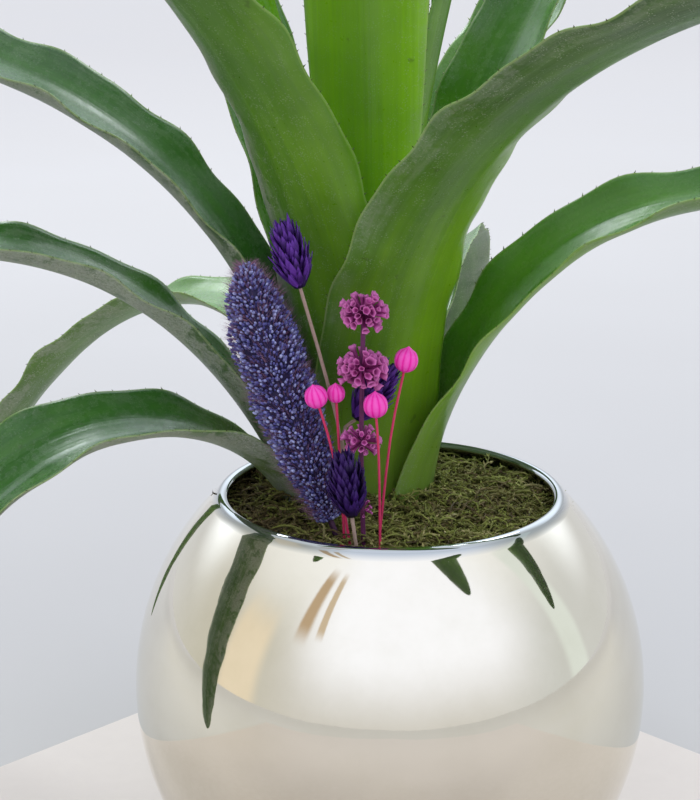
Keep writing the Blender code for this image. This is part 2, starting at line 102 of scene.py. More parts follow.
# Each leaf: its ring, length and greatest width, the way it points and its lean from upright at
# even stations, half its sheath's angle, its roll, the length over which it opens, and its
# channel's radius, as in the CAD source. Then its looks, in rows from base to tip with the two
# margins and the middle in each, or one number for all three: tone runs from yellow-green (0) to
# dark green (1), and scurf is how grey and speckled the skin is. Tone is partly painted light and
# shade: besides each leaf's own green, it is painted lighter and yellower where light shines
# through a leaf, and darker where the leaf is shaded.
LEAVES = {
    "leaf_front_left_low": dict(
        ring=0, length=0.30, width=0.050, heading=(212, 208, 205), lean=(26, 74, 124, 148, 155), wrap=48,
        roll=(0, -10, -25),
        tone=((0.85, 0.85, 0.80), (0.70, 0.75, 0.60)), scurf=((0.9, 0.8, 0.9), 0.5),
    ),
    "leaf_right_arching": dict(
        ring=0, length=0.40, width=0.042, heading=(-22, -14, -12), lean=(6, 38, 86, 100, 118), wrap=50,
        channel=0.024, roll=(0, 30, 5, -40, -30),
        tone=((0.30, 0.55, 0.65), (0.55, 0.75, 0.75)), scurf=(0.2, (0.6, 0.4, 0.4)),
    ),
    "leaf_left_middle": dict(
        ring=1, length=0.36, width=0.050, heading=(192, 188, 186), lean=(20, 45, 84, 96, 112), wrap=44,
        tone=((0.80, 0.85, 0.80), (0.80, 0.85, 0.80)), scurf=(0.9, 0.8),
    ),
    "leaf_back_right_wide": dict(
        ring=3, length=0.38, width=0.046, heading=(64, 56, 48), lean=(4, 30, 48, 62, 80), wrap=38,
        tone=((0.55, 0.60, 0.55), 0.45), scurf=(0.5, 0.5),
    ),
    "leaf_front_right": dict(
        ring=2, length=0.42, width=0.056, heading=(-75, -48, -38), lean=(2, 28, 56, 76, 88), wrap=70,
        opening=0.06, channel=0.045,
        # Painted light: the low part of one margin is painted yellow-green where light shines through the
        # leaf.
        tone=((0.45, 0.35, 0.02), (0.60, 0.55, 0.25), (0.60, 0.60, 0.50)),
        scurf=((0.10, 0.05, 0.05), (0.35, 0.20, 0.20), (0.35, 0.35, 0.45)),
    ),
    "leaf_back_left_hanging": dict(
        ring=0, length=0.34, width=0.046, heading=(122, 152, 162), lean=(-3, 70, 120, 144, 152), wrap=28,
        tone=(0.60, (0.40, 0.45, 0.40)), scurf=(0.6, 0.6),
    ),
    "leaf_left_upper": dict(
        ring=3, length=0.40, width=0.052, heading=(184, 172, 172), lean=(4, 28, 62, 84, 92), wrap=55,
        roll=(0, -8, -22),
        tone=(0.85, (0.75, 0.80, 0.70)), scurf=((0.7, 0.7, 0.9), 0.6),
    ),
    "leaf_back_hanging": dict(
        ring=1, length=0.34, width=0.048, heading=(72, 80, 88), lean=(2, 58, 100, 128, 142), wrap=42,
        tone=(0.70, (0.55, 0.60, 0.55)), scurf=(0.5, 0.5),
    ),
    "leaf_front_left": dict(
        ring=4, length=0.42, width=0.058, heading=(244, 222, 206), lean=(2, 18, 40, 57, 72), wrap=75,
        opening=0.10, channel=0.040,
        # Painted light and shade: yellow-green towards the margin that light shines through, dark green
        # towards the shaded margin.
        tone=((0.80, 0.45, 0.12), (0.65, 0.50, 0.40), (0.60, 0.50, 0.45)),
        scurf=((0.95, 0.25, 0.02), (0.95, 0.35, 0.05), (0.80, 0.35, 0.10)),
    ),
    "leaf_back_right_upper": dict(
        ring=4, length=0.40, width=0.045, heading=(38, 41, 38), lean=(2, 19, 36, 51, 66), wrap=38,
        tone=((0.55, 0.60, 0.55), (0.65, 0.70, 0.65)), scurf=((0.4, 0.35, 0.9), (0.4, 0.35, 0.9)),
    ),
    "leaf_back_left_upper": dict(
        ring=5, length=0.38, width=0.045, heading=(130, 126, 120), lean=(2, 20, 34, 46, 60), wrap=52,
        tone=(0.60, 0.60), scurf=(0.7, 0.7),
    ),
    "leaf_right_inner": dict(
        ring=7, length=0.34, width=0.036, heading=(2, -4, -8), lean=(1, 5, 10, 16, 28), wrap=50,
        opening=0.22, channel=0.022,
        tone=((0.35, 0.40, 0.35), (0.40, 0.45, 0.40)), scurf=(0.2, 0.2),
    ),
    "leaf_front_centre": dict(
        ring=6, length=0.38, width=0.052, heading=(276, 262, 262), lean=(1, 5, 8, 12, 25), wrap=62,
        opening=0.28, channel=0.050,
        # Partly painted light: the leaf's green is painted lighter and yellower for the light that shines
        # through it.
        tone=((0.15, 0.30, 0.05), (0.12, 0.32, 0.00), (0.15, 0.30, 0.10)),
        scurf=((0.05, 0.05, 0.15), (0.05, 0.05, 0.25), (0.05, 0.05, 0.20)),
    ),
    "leaf_back_inner": dict(
        ring=6, length=0.35, width=0.048, heading=(85, 80, 78), lean=(1, 9, 17, 26, 40), wrap=62,
        opening=0.20,
        tone=((0.25, 0.30, 0.25), (0.35, 0.40, 0.35)), scurf=(0.3, 0.3),
    ),
    "leaf_left_inner": dict(
        ring=7, length=0.30, width=0.032, heading=(170, 166, 162), lean=(1, 6, 13, 22, 34), wrap=58,
        opening=0.22, channel=0.024,
        tone=((0.15, 0.20, 0.15), (0.25, 0.30, 0.25)), scurf=(0.2, 0.2),
    ),
    "leaf_core": dict(
        ring=8, length=0.26, width=0.034, heading=(40, 44, 48), lean=(0, 2, 4, 7, 15), wrap=66,
        opening=0.22,
        tone=((0.0, 0.05, 0.0), (0.10, 0.15, 0.10)), scurf=(0.1, 0.1),
    ),
}

# Dried flowers as (x, distance behind the flowers' front line, height over the moss's edge).
FOXTAIL_HEAD = [
    (-0.0233, 0.0380, 0.0114),
    (-0.0311, 0.0380, 0.0340),
    (-0.0405, 0.0380, 0.0610),
    (-0.0487, 0.0380, 0.0870),
    (-0.0529, 0.0380, 0.1075),
]
FOXTAIL_HEAD_RADIUS = 0.0125
FOXTAIL_HEAD_SHAPE = (0.35, 0.80, 1.00, 0.95, 0.55)
CANARY_HEAD_LENGTH = 0.029
CANARY_HEAD_RADIUS = 0.0082
CANARY_GRASS = {
    "upper": [
        (-0.0165, 0.0350), (-0.0189, 0.0350, 0.0410), (-0.0243, 0.0350, 0.0665), (-0.0334, 0.0350, 0.0995),
    ],
    "middle": [(-0.0140, 0.0405), (-0.0185, 0.0415, 0.0405), (-0.0135, 0.0425, 0.0480)],
    "front": [(-0.0125, 0.0150), (-0.0149, 0.0140, 0.0202)],
}
WHORL_STEM = [(-0.0105, 0.0278), (-0.0115, 0.0278, 0.0420), (-0.0108, 0.0278, 0.0920)]
WHORL_STEM_RADIUS = 0.0010
WHORLS = {
    "whorl_top": dict(rise=0.0945, radius=0.0090, depth=0.0120, calyces=62),
    "whorl_upper": dict(rise=0.0715, radius=0.0098, depth=0.0110, calyces=62),
    "whorl_lower": dict(rise=0.0445, radius=0.0072, depth=0.0130, calyces=44),
    "whorl_lowest": dict(rise=0.0185, radius=0.0040, depth=0.0080, calyces=18),
}
FLAX_PODS = {
    "right": dict(
        pod_radius=0.0044, route=[(-0.0050, 0.0310), (-0.0010, 0.0300, 0.0440), (0.0038, 0.0300, 0.0698)]
    ),
    "centre": dict(
        pod_radius=0.0045, route=[(-0.0045, 0.0230), (-0.0052, 0.0220, 0.0390), (-0.0062, 0.0215, 0.0552)]
    ),
    "left": dict(
        pod_radius=0.0042, route=[(-0.0152, 0.0280), (-0.0218, 0.0260, 0.0400), (-0.0267, 0.0220, 0.0590)]
    ),
    "left_behind": dict(
        pod_radius=0.0034, route=[(-0.0175, 0.0300), (-0.0200, 0.0290, 0.0490), (-0.0205, 0.0280, 0.0590)]
    ),
}


def bowl_centre_height():
    return BOWL_HALF_HEIGHT * math.sqrt(1.0 - (BASE_RADIUS / BOWL_RADIUS) ** 2)


def rim_height():
    return bowl_centre_height() + BOWL_HALF_HEIGHT * math.sqrt(1.0 - (MOUTH_RADIUS / BOWL_RADIUS) ** 2)


def bowl_radius_at(height, inset=0.0):
    reach = (height - bowl_centre_height()) / (BOWL_HALF_HEIGHT - inset)
    return (BOWL_RADIUS - inset) * np.sqrt(np.maximum(0.0, 1.0 - np.square(reach)))


def moss_edge_top():
    return rim_height() - MOSS_BELOW_RIM


def mix_top():
    return moss_edge_top() - MOSS_DEPTH


def rosette_centre():
    """(x, y) of the rosette's axis."""
    mouth_inner_radius = bowl_radius_at(rim_height(), GLASS)
    return ROSETTE_X, mouth_inner_radius - ROSETTE_BACK_CLEARANCE - OUTER_RING_RADIUS


def flowers_front():
    """Y of the line that the dried flowers are measured from, in front of the rosette."""
    return rosette_centre()[1] - OUTER_RING_RADIUS - FLOWERS_DEPTH


def placed(point):
    """The frame's coordinates of a dried flower's place."""
    x, behind, rise = point
    return x, flowers_front() + behind, moss_edge_top() + rise


def full_route(route):
    """A stem's route in the frame, from its foot in the moss to the underside of its head."""
    x, behind = route[0]
    y = flowers_front() + behind
    surface = moss_edge_top() + MOSS_CROWN * (1.0 - (math.hypot(x, y) / MOUTH_RADIUS) ** 2)
    return [(x, y, surface - STEM_BURIED), (x, y, surface)] + [placed(point) for point in route[1:]]


# ---- tools for meshes


def smoothed(values, fractions):
    """Catmull-Rom interpolation through evenly spaced values, read at fractions from 0 to 1."""
    points = np.asarray(values, float)
    last = len(points) - 1
    place = np.clip(np.asarray(fractions, float), 0.0, 1.0) * last
    low = np.clip(np.floor(place).astype(int), 0, last - 1)
    f = place - low
    before = points[np.clip(low - 1, 0, last)]
    here = points[low]
    there = points[low + 1]
    after = points[np.clip(low + 2, 0, last)]
    if points.ndim == 2:
        f = f[:, None]
    return 0.5 * (
        2 * here
        + (there - before) * f
        + (2 * before - 5 * here + 4 * there - after) * f**2
        + (3 * here - before - 3 * there + after) * f**3
    )


def smooth_step(low, high, value):
    share = np.clip((np.asarray(value, float) - low) / (high - low), 0.0, 1.0)
    return share * share * (3.0 - 2.0 * share)


def unit(vectors):
    """Vectors at length 1."""
    return vectors / np.maximum(np.linalg.norm(vectors, axis=-1, keepdims=True), 1e-12)


def add_piece(name, parts, finish, nodes, flat=False):
    """A shown piece from a list of parts, each a dict of points, faces and named point values."""
    points = np.concatenate([part["points"] for part in parts])
    faces = []
    offset = 0
    for part in parts:
        faces += [tuple(int(i) + offset for i in face) for face in part["faces"]]
        offset += len(part["points"])
    mesh = bpy.data.meshes.new(name)
    mesh.from_pydata(points.tolist(), [], faces)
    for key in sorted({key for part in parts for key in part if key not in ("points", "faces")}):
        values = np.concatenate(
            [np.broadcast_to(part.get(key, 0.0), len(part["points"])) for part in parts]
        ).astype(np.float32)
        mesh.attributes.new(key, "FLOAT", "POINT").data.foreach_set("value", values)
    mesh.materials.append(finish)
    if not flat:
        mesh.shade_smooth()
    mesh.update()
    piece = add_object(name, mesh)
    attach(piece, BODY)
    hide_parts(*nodes)


def grid_faces(rows, columns, wrap=False):
    """Quads over a grid of points stored row by row. wrap joins the last column to the first."""
    count = columns if wrap else columns - 1
    r, c = np.meshgrid(np.arange(rows - 1), np.arange(count), indexing="ij")
    n = (c + 1) % columns
    quads = np.stack([r * columns + c, r * columns + n, (r + 1) * columns + n, (r + 1) * columns + c], -1)
    return quads.reshape(-1, 4).tolist()


def frames_along(line):
    """Unit tangents of a line of points, and two unit directions across it that do not twist."""
    tangent = unit(np.gradient(line, axis=0))
    across = np.empty_like(line)
    start = np.array([1.0, 0.0, 0.0]) if abs(tangent[0, 0]) < 0.9 else np.array([0.0, 1.0, 0.0])
    for i, t in enumerate(tangent):
        start = unit(start - t * (start @ t))
        across[i] = start
    return tangent, across, np.cross(tangent, across)


def tube(line, radii, sides):
    """A closed round tube along a line of points, with a radius at each."""
    line = np.asarray(line, float)
    radii = np.broadcast_to(radii, len(line))
    _, across, other = frames_along(line)
    angle = np.arange(sides) * math.tau / sides
    ring = across[:, None] * np.cos(angle)[:, None] + other[:, None] * np.sin(angle)[:, None]
    points = (line[:, None] + ring * radii[:, None, None]).reshape(-1, 3)
    faces = grid_faces(len(line), sides, wrap=True)
    faces.append(list(range(sides))[::-1])
    faces.append([(len(line) - 1) * sides + i for i in range(sides)])
    along = np.repeat(np.linspace(0.0, 1.0, len(line)), sides)
    return dict(points=points, faces=faces, along=along)


def turned(profile, sides):
    """A shape turned about Z from (radius, height) points. A point on the axis makes a fan."""
    points = []
    rows = []
    angle = np.arange(sides) * math.tau / sides
    for radius, height in profile:
        rows.append(len(points))
        if radius < 1e-9:
            points.append((0.0, 0.0, height))
        else:
            points += [(radius * math.cos(a), radius * math.sin(a), height) for a in angle]
    faces = []
    for (low, lower), (high, upper) in zip(zip(rows[:-1], profile[:-1]), zip(rows[1:], profile[1:])):
        for i in range(sides):
            n = (i + 1) % sides
            if lower[0] < 1e-9:
                faces.append((low, high + n, high + i))
            elif upper[0] < 1e-9:
                faces.append((low + i, low + n, high))
            else:
                faces.append((low + i, low + n, high + n, high + i))
    return np.array(points), faces


def scattered(shape, faces, turns, places, sizes, **values):
    """Copies of a small shape, each turned, sized and placed. A value may differ for each copy."""
    count = len(places)
    sizes = np.asarray(sizes, float)
    sized = shape[None] * (sizes[:, None, None] if sizes.ndim == 1 else sizes[:, None, :])
    points = np.einsum("nij,npj->npi", turns, sized) + places[:, None]
    shifts = (np.arange(count) * len(shape)).tolist()
    every = [tuple(i + shift for i in face) for shift in shifts for face in faces]
    spread = {
        key: (np.repeat(value, len(shape)) if len(value) == count else np.tile(value, count))
        for key, value in values.items()
    }
    return dict(points=points.reshape(-1, 3), faces=every, **spread)


def turns_to(directions, spin):
    """Rotation matrices that take +Z to each direction, after a spin about Z."""
    z = unit(directions)
    helper = np.where(np.abs(z[:, 2:3]) < 0.95, [[0.0, 0.0, 1.0]], [[1.0, 0.0, 0.0]])
    x = unit(np.cross(helper, z))
    y = np.cross(z, x)
    c, s = np.cos(spin)[:, None], np.sin(spin)[:, None]
    return np.stack([x * c + y * s, y * c - x * s, z], axis=2)


def turns_facing(way, out):
    """Rotation matrices that take +Z to each unit way, and +Y as near to out as that allows."""
    face = unit(out - way * np.sum(out * way, axis=1, keepdims=True))
    return np.stack([np.cross(face, way), face, way], axis=2)


# ---- tools for materials


class Nodes:
    """Short calls that add and link the nodes of one material or world."""

    def __init__(self, tree):
        self.tree = tree

    def add(self, kind, feeds=(), **settings):
        """A new node with its settings made and its inputs fed."""
        node = self.tree.nodes.new(kind)
        for key, value in settings.items():
            setattr(node, key, value)
        for key, value in dict(feeds).items():
            self.feed(node.inputs[key], value)
        return node

    def feed(self, socket, value):
        """Links an output to a socket, or sets the socket's own value."""
        if isinstance(value, bpy.types.NodeSocket):
            self.tree.links.new(value, socket)
        elif isinstance(value, (tuple, list)) and len(value) == 3 and socket.type == "RGBA":
            socket.default_value = (*value, 1.0)
        else:
            socket.default_value = value

    def attribute(self, name):
        return self.add("ShaderNodeAttribute", attribute_name=name).outputs["Fac"]

    def math(self, operation, a, b=0.0):
        return self.add("ShaderNodeMath", {0: a, 1: b}, operation=operation).outputs[0]

    def plus(self, a, b):
        return self.math("ADD", a, b)

    def minus(self, a, b):
        return self.math("SUBTRACT", a, b)

    def times(self, a, b):
        return self.math("MULTIPLY", a, b)

    def combine(self, x, y, z):
        return self.add("ShaderNodeCombineXYZ", {0: x, 1: y, 2: z}).outputs[0]

    def place(self):
        """Where a point is on its object, in metres."""
        return self.add("ShaderNodeTexCoord").outputs["Object"]

    def parts(self, vector):
        """A vector's X, Y and Z."""
        return self.add("ShaderNodeSeparateXYZ", {0: vector}).outputs

    def scaled(self, vector, scale):
        return self.add("ShaderNodeVectorMath", {0: vector, 1: scale}, operation="MULTIPLY").outputs[0]

    def noise(self, vector, scale, detail=3.0, roughness=0.55):
        feeds = {"Vector": vector, "Scale": scale, "Detail": detail, "Roughness": roughness}
        return self.add("ShaderNodeTexNoise", feeds).outputs["Fac"]

    def cells(self, vector, scale):
        """The distance to the middle of the nearest cell."""
        return self.add("ShaderNodeTexVoronoi", {"Vector": vector, "Scale": scale}).outputs["Distance"]

    def ramp(self, value, low, high, to_low=0.0, to_high=1.0):
        """A smooth step from to_low to to_high as value goes from low to high."""
        feeds = enumerate((value, low, high, to_low, to_high))
        return self.add("ShaderNodeMapRange", feeds, interpolation_type="SMOOTHSTEP").outputs[0]

    def mix(self, share, a, b):
        return self.add("ShaderNodeMix", {0: share, 6: a, 7: b}, data_type="RGBA").outputs[2]

    def colours(self, value, stops):
        """A colour ramp through (place, colour) stops."""
        node = self.add("ShaderNodeValToRGB", {0: value})
        while len(node.color_ramp.elements) < len(stops):
            node.color_ramp.elements.new(0.5)
        for element, (place, colour) in zip(node.color_ramp.elements, stops):
            element.position = place
            element.color = (*colour, 1.0)
        return node.outputs[0]

    def bump(self, height, distance, strength=1.0, below=None):
        feeds = {"Height": height, "Distance": distance, "Strength": strength}
        if below is not None:
            feeds["Normal"] = below
        return self.add("ShaderNodeBump", feeds).outputs[0]

    def finish(self, **inputs):
        """Feeds the Principled shader. An input's name has _ for each space."""
        shader = self.tree.nodes["Principled BSDF"]
        for key, value in inputs.items():
            self.feed(shader.inputs[key.replace("_", " ")], value)


def new_material(name):
    """A material with an empty Principled shader, and its node tools."""
    made = bpy.data.materials.new(name)
    made.use_nodes = True
    return made, Nodes(made.node_tree)


# ---- materials


def mirror_glass():
    """Silvered glass: a faintly warm mirror, clear dark glass at the lip, and an inner wall painted dark
    bluish as a painted reflection of the dark moss.
    """
    made, n = new_material("mirror_glass_look")
    place = n.place()
    slow = n.noise(place, 14.0, 2.0)
    fine = n.noise(place, 420.0, 2.0)
    cloud = n.noise(place, 38.0, 4.0, 0.6)
    silver = n.mix(n.ramp(cloud, 0.35, 0.75), (0.775, 0.740, 0.650), (0.735, 0.700, 0.605))
    inside = n.attribute("inside")
    lip = n.attribute("lip")
    # Painted reflection: the inner wall's dark blue-grey stands in for the dark moss that the mirrored inner
    # wall reflects.
    wall = n.mix(n.ramp(cloud, 0.3, 0.7), (0.13, 0.17, 0.21), (0.22, 0.27, 0.30))
    colour = n.mix(inside, silver, wall)
    colour = n.mix(lip, colour, (0.42, 0.45, 0.46))
    specks = n.ramp(n.cells(place, 900.0), 0.05, 0.16, 1.0, 0.0)
    rare = n.times(specks, n.ramp(n.noise(place, 260.0, 1.0), 0.62, 0.70))
    rough = n.plus(n.ramp(cloud, 0.3, 0.8, 0.022, 0.055), n.times(rare, 0.25))
    rough = n.plus(rough, n.times(inside, 0.10))
    bump = n.bump(slow, 0.00040, 0.6)
    bump = n.bump(fine, 0.000004, 0.5, bump)
    n.finish(Base_Color=colour, Roughness=rough, Normal=bump, Metallic=1.0)
    return made


# A leaf's greens on its upper and under faces, from yellow-green to dark green.
TONE_PLACES = (0.0, 0.25, 0.5, 0.75, 1.0)
UPPER_GREENS = (
    (0.245, 0.530, 0.004), (0.150, 0.370, 0.005), (0.074, 0.235, 0.008),
    (0.027, 0.122, 0.012), (0.009, 0.056, 0.011),
)
LOWER_GREENS = (
    (0.260, 0.520, 0.010), (0.170, 0.365, 0.011), (0.080, 0.200, 0.014),
    (0.032, 0.092, 0.014), (0.011, 0.038, 0.011),
)


def leaf_skin():
    """A living leaf: fine veins along it, grey scurf underneath, pale margins and dark spines."""
    made, n = new_material("leaf_skin_look")
    across = n.attribute("across")
    along = n.attribute("along")
    under = n.attribute("under")
    tone = n.attribute("tone")
    scurf = n.attribute("scurf")
    spine = n.attribute("spine")
    half = n.attribute("side")
    place = n.place()
    blade = n.combine(half, along, 0.0)

    veins = n.noise(n.scaled(blade, (1100.0, 9.0, 0.0)), 1.0, 2.0, 0.5)
    broad = n.noise(n.scaled(blade, (190.0, 5.0, 0.0)), 1.0, 2.0, 0.5)
    patches = n.noise(place, 34.0, 3.0, 0.55)
    mottle = n.noise(place, 260.0, 3.0, 0.6)

    # The tone from the leaf table holds painted light and shade as well as the leaf's own green.
    shade = n.plus(tone, n.times(n.minus(patches, 0.5), 0.32))
    shade = n.plus(shade, n.times(n.minus(broad, 0.5), 0.30))
    shade = n.plus(shade, n.ramp(along, 0.10, 0.34, -0.06, 0.16))
    upper = n.colours(shade, list(zip(TONE_PLACES, UPPER_GREENS)))
    lower = n.colours(shade, list(zip(TONE_PLACES, LOWER_GREENS)))
    green = n.mix(under, upper, lower)
    green = n.mix(n.ramp(veins, 0.30, 0.72, 0.0, 0.34), green, n.mix(0.55, green, (0.10, 0.22, 0.05)))
    base = n.ramp(along, 0.012, 0.075, 1.0, 0.0)
    green = n.mix(n.times(base, 0.55), green, (0.22, 0.34, 0.06))

    grain = n.cells(place, 1250.0)
    dots = n.ramp(grain, 0.20, 0.42, 1.0, 0.0)
    streak = n.noise(n.scaled(blade, (420.0, 26.0, 0.0)), 1.0, 3.0, 0.65)
    drift = n.noise(place, 55.0, 4.0, 0.65)
    cover = n.plus(n.times(streak, 0.55), n.times(drift, 0.6))
    edge = n.ramp(across, 0.35, 0.98, 0.0, 0.30)
    cover = n.plus(cover, edge)
    amount = n.times(scurf, n.plus(n.times(under, 0.75), 0.25))
    dust = n.ramp(n.plus(cover, n.times(amount, 0.60)), 0.80, 1.22, 0.0, 1.0)
    dust = n.times(dust, n.plus(n.times(amount, 1.15), 0.04))
    rubbed = n.ramp(n.noise(place, 75.0, 5.0, 0.72), 0.50, 0.58)
    dust = n.times(dust, n.minus(1.0, n.times(rubbed, 0.80)))
    dust = n.times(dust, n.ramp(n.noise(place, 900.0, 2.0, 0.7), 0.30, 0.62, 0.55, 1.15))
    speckle = n.times(dots, n.ramp(mottle, 0.42, 0.62))
    speckle = n.times(speckle, n.plus(n.times(amount, 1.1), 0.05))
    grey = (0.33, 0.365, 0.300)
    green = n.mix(n.times(dust, 0.78), green, grey)
    green = n.mix(n.times(speckle, 0.75), green, (0.46, 0.50, 0.42))

    margin = n.ramp(across, 0.968, 0.990)
    green = n.mix(n.times(margin, 0.42), green, (0.34, 0.44, 0.16))
    blotch = n.ramp(n.noise(place, 150.0, 2.0), 0.70, 0.76)
    green = n.mix(n.times(blotch, 0.35), green, (0.035, 0.060, 0.012))
    green = n.mix(n.ramp(spine, 0.15, 0.85), green, (0.035, 0.022, 0.012))

    rough = n.plus(n.ramp(mottle, 0.25, 0.75, 0.21, 0.33), n.times(dust, 0.30))
    rough = n.plus(rough, n.times(under, 0.06))
    bump = n.bump(broad, 0.00045, 0.5)
    bump = n.bump(veins, 0.00012, 0.55, bump)
    bump = n.bump(mottle, 0.00008, 0.35, bump)
    bump = n.bump(speckle, 0.00012, 0.6, bump)
    n.finish(
        Base_Color=green, Roughness=rough, Normal=bump, Specular_IOR_Level=0.42, Subsurface_Weight=0.16,
        Subsurface_Radius=(0.45, 1.0, 0.12), Subsurface_Scale=0.0016,
    )
    return made


def moss_strand():
    """Curly moss: olive, yellow-green and brown strands that differ one by one."""
    made, n = new_material("moss_strand_look")
    pick = n.attribute("pick")
    along = n.attribute("along")
    stops = [(0.0, (0.045, 0.026, 0.010)), (0.25, (0.150, 0.095, 0.035)), (0.45, (0.165, 0.150, 0.030))]
    stops += [(0.70, (0.215, 0.255, 0.035)), (0.90, (0.340, 0.380, 0.075)), (1.0, (0.460, 0.400, 0.180))]
    colour = n.colours(pick, stops)
    colour = n.mix(n.ramp(along, 0.1, 0.9, 0.45, 0.0), colour, (0.025, 0.020, 0.007))
    fine = n.noise(n.place(), 1600.0, 2.0)
    colour = n.mix(n.ramp(fine, 0.3, 0.7, 0.0, 0.35), colour, (0.20, 0.19, 0.07))
    bump = n.bump(fine, 0.0001, 0.6)
    n.finish(Base_Color=colour, Roughness=n.ramp(fine, 0.2, 0.8, 0.70, 0.92), Normal=bump)
    return made


def moss_bed():
    """The dark matted layer under the moss strands."""
    made, n = new_material("moss_bed_look")
    place = n.place()
    coarse = n.noise(place, 240.0, 5.0, 0.65)
    fine = n.noise(place, 1100.0, 4.0, 0.7)
    colour = n.colours(
        n.plus(n.times(coarse, 0.6), n.times(fine, 0.4)),
        [(0.30, (0.012, 0.008, 0.004)), (0.50, (0.042, 0.034, 0.010)), (0.68, (0.085, 0.090, 0.020))],
    )
    bump = n.bump(coarse, 0.0018, 0.8)
    bump = n.bump(fine, 0.0005, 0.8, bump)
    n.finish(Base_Color=colour, Roughness=n.ramp(fine, 0.3, 0.7, 0.82, 0.98), Normal=bump)
    return made


def potting_soil():
    """Moist peat with bark crumbs."""
    made, n = new_material("potting_soil_look")
    place = n.place()
    crumbs = n.cells(place, 320.0)
    fine = n.noise(place, 900.0, 4.0, 0.7)
    colour = n.colours(
        n.plus(crumbs, n.times(fine, 0.5)),
        [(0.25, (0.060, 0.034, 0.018)), (0.55, (0.030, 0.018, 0.010)), (0.85, (0.010, 0.007, 0.005))],
    )
    bump = n.bump(crumbs, 0.0015, 0.8)
    bump = n.bump(fine, 0.0004, 0.7, bump)
    n.finish(Base_Color=colour, Roughness=n.ramp(fine, 0.3, 0.7, 0.75, 0.95), Normal=bump)
    return made


def dyed(name, dark, middle, light, roughness=0.62, tip_colour=None):
    """Dyed dried plant matter. pick chooses each part's own shade and along runs from base to tip."""
    made, n = new_material(name)
    place = n.place()
    fine = n.noise(place, 900.0, 3.0, 0.6)
    slow = n.noise(place, 130.0, 2.0)
    pick = n.attribute("pick")
    along = n.attribute("along")
    value = n.plus(n.times(pick, 0.6), n.times(fine, 0.25))
    value = n.plus(value, n.times(slow, 0.25))
    colour = n.colours(value, [(0.18, dark), (0.50, middle), (0.85, light)])
    # A lighter colour towards the tip. On the canary scales the darker lower part is partly painted shade,
    # where each scale lies under the ones above it.
    if tip_colour is not None:
        colour = n.mix(n.ramp(along, tip_colour[1], 1.0), colour, tip_colour[0])
    bump = n.bump(fine, 0.00012, 0.6)
    rough = n.ramp(fine, 0.25, 0.75, roughness - 0.08, roughness + 0.10)
    n.finish(Base_Color=colour, Roughness=rough, Normal=bump, Specular_IOR_Level=0.3)
    return made


def table_top():
    """A warm white board."""
    made, n = new_material("table_top_look")
    fine = n.noise(n.place(), 90.0, 4.0, 0.6)
    colour = n.mix(n.ramp(fine, 0.3, 0.7), (0.546, 0.490, 0.446), (0.569, 0.515, 0.472))
    n.finish(Base_Color=colour, Roughness=n.ramp(fine, 0.3, 0.7, 0.42, 0.55))
    return made


def floor_paint():
    """Plain paint: warm in front of the table, grey just behind it and paler far away."""
    made, n = new_material("floor_paint_look")
    place = n.place()
    x, y, _ = n.parts(place)
    back = n.minus(y, n.times(n.math("ABSOLUTE", x), 0.7))
    near = n.mix(n.ramp(back, -0.5, 0.2), (0.56, 0.54, 0.50), (0.420, 0.412, 0.412))
    colour = n.mix(n.ramp(y, 0.2, 3.5), near, (0.605, 0.590, 0.583))
    colour = n.mix(n.ramp(n.noise(place, 2.0, 2.0), 0.3, 0.7, 0.0, 0.10), colour, (0.58, 0.58, 0.60))
    n.finish(Base_Color=colour, Roughness=0.9)
    return made


# ---- vase

VASE_SIDES = 192
WALL_ROWS = 72
LIP_ROWS = 10
FOOT_HOLLOW = 0.0012


def wall_rows(low, high, inset, rows):
    """(radius, height) points up the bowl's wall, evenly spaced in angle."""
    half = BOWL_HALF_HEIGHT - inset
    start = math.asin((low - bowl_centre_height()) / half)
    end = math.asin((high - bowl_centre_height()) / half)
    angles = np.linspace(start, end, rows)
    return [
        ((BOWL_RADIUS - inset) * math.cos(a), bowl_centre_height() + half * math.sin(a)) for a in angles
    ]


def build_vase(finish):
    """The bowl: a rounded foot edge, the outer wall, a fire-polished lip and the inner wall."""
    rim = rim_height()
    outside = wall_rows(0.0, rim, 0.0, WALL_ROWS)
    inside = wall_rows(FLOOR, rim, GLASS, WALL_ROWS // 2)
    middle = (outside[-1][0] + inside[-1][0]) / 2
    half = (outside[-1][0] - inside[-1][0]) / 2
    lip = [
        (middle + half * math.cos(a), rim + half * 0.85 * math.sin(a))
        for a in np.linspace(0.0, math.pi, LIP_ROWS + 2)[1:-1]
    ]
    hollow = [(0.0, FOOT_HOLLOW), (BASE_RADIUS * 0.80, FOOT_HOLLOW)]
    foot = hollow + [(BASE_RADIUS * 0.86, 0.0), (BASE_RADIUS - 0.001, 0.0)]
    profile = foot + outside[1:] + lip + inside[::-1] + [(0.0, FLOOR)]
    points, faces = turned(profile, VASE_SIDES)
    radius = np.hypot(points[:, 0], points[:, 1])
    wall = bowl_radius_at(points[:, 2], GLASS / 2)
    is_inside = ((radius < wall) & (points[:, 2] > FLOOR * 0.9) & (points[:, 2] <= rim + 1e-6)).astype(float)
    is_lip = smooth_step(rim - 0.0012, rim + 0.0002, points[:, 2])
    part = dict(points=points, faces=faces, inside=is_inside * (1 - is_lip), lip=is_lip)
    add_piece("vase_bowl", [part], finish, ["vase"])


# ---- leaves

LEAF_ROWS = 150
LEAF_COLUMNS = 29
LEAF_THICKNESS = 0.0011
MARGIN_THICKNESS = 0.0004
MARGIN_WAVE = 0.0011
MARGIN_WAVELENGTHS = (0.047, 0.029)
GROOVE_DEPTH = 0.00022
SPINE_SPACING = 0.0062
SPINE_HEIGHT = 0.0013
SPINE_WIDTH = 0.0008


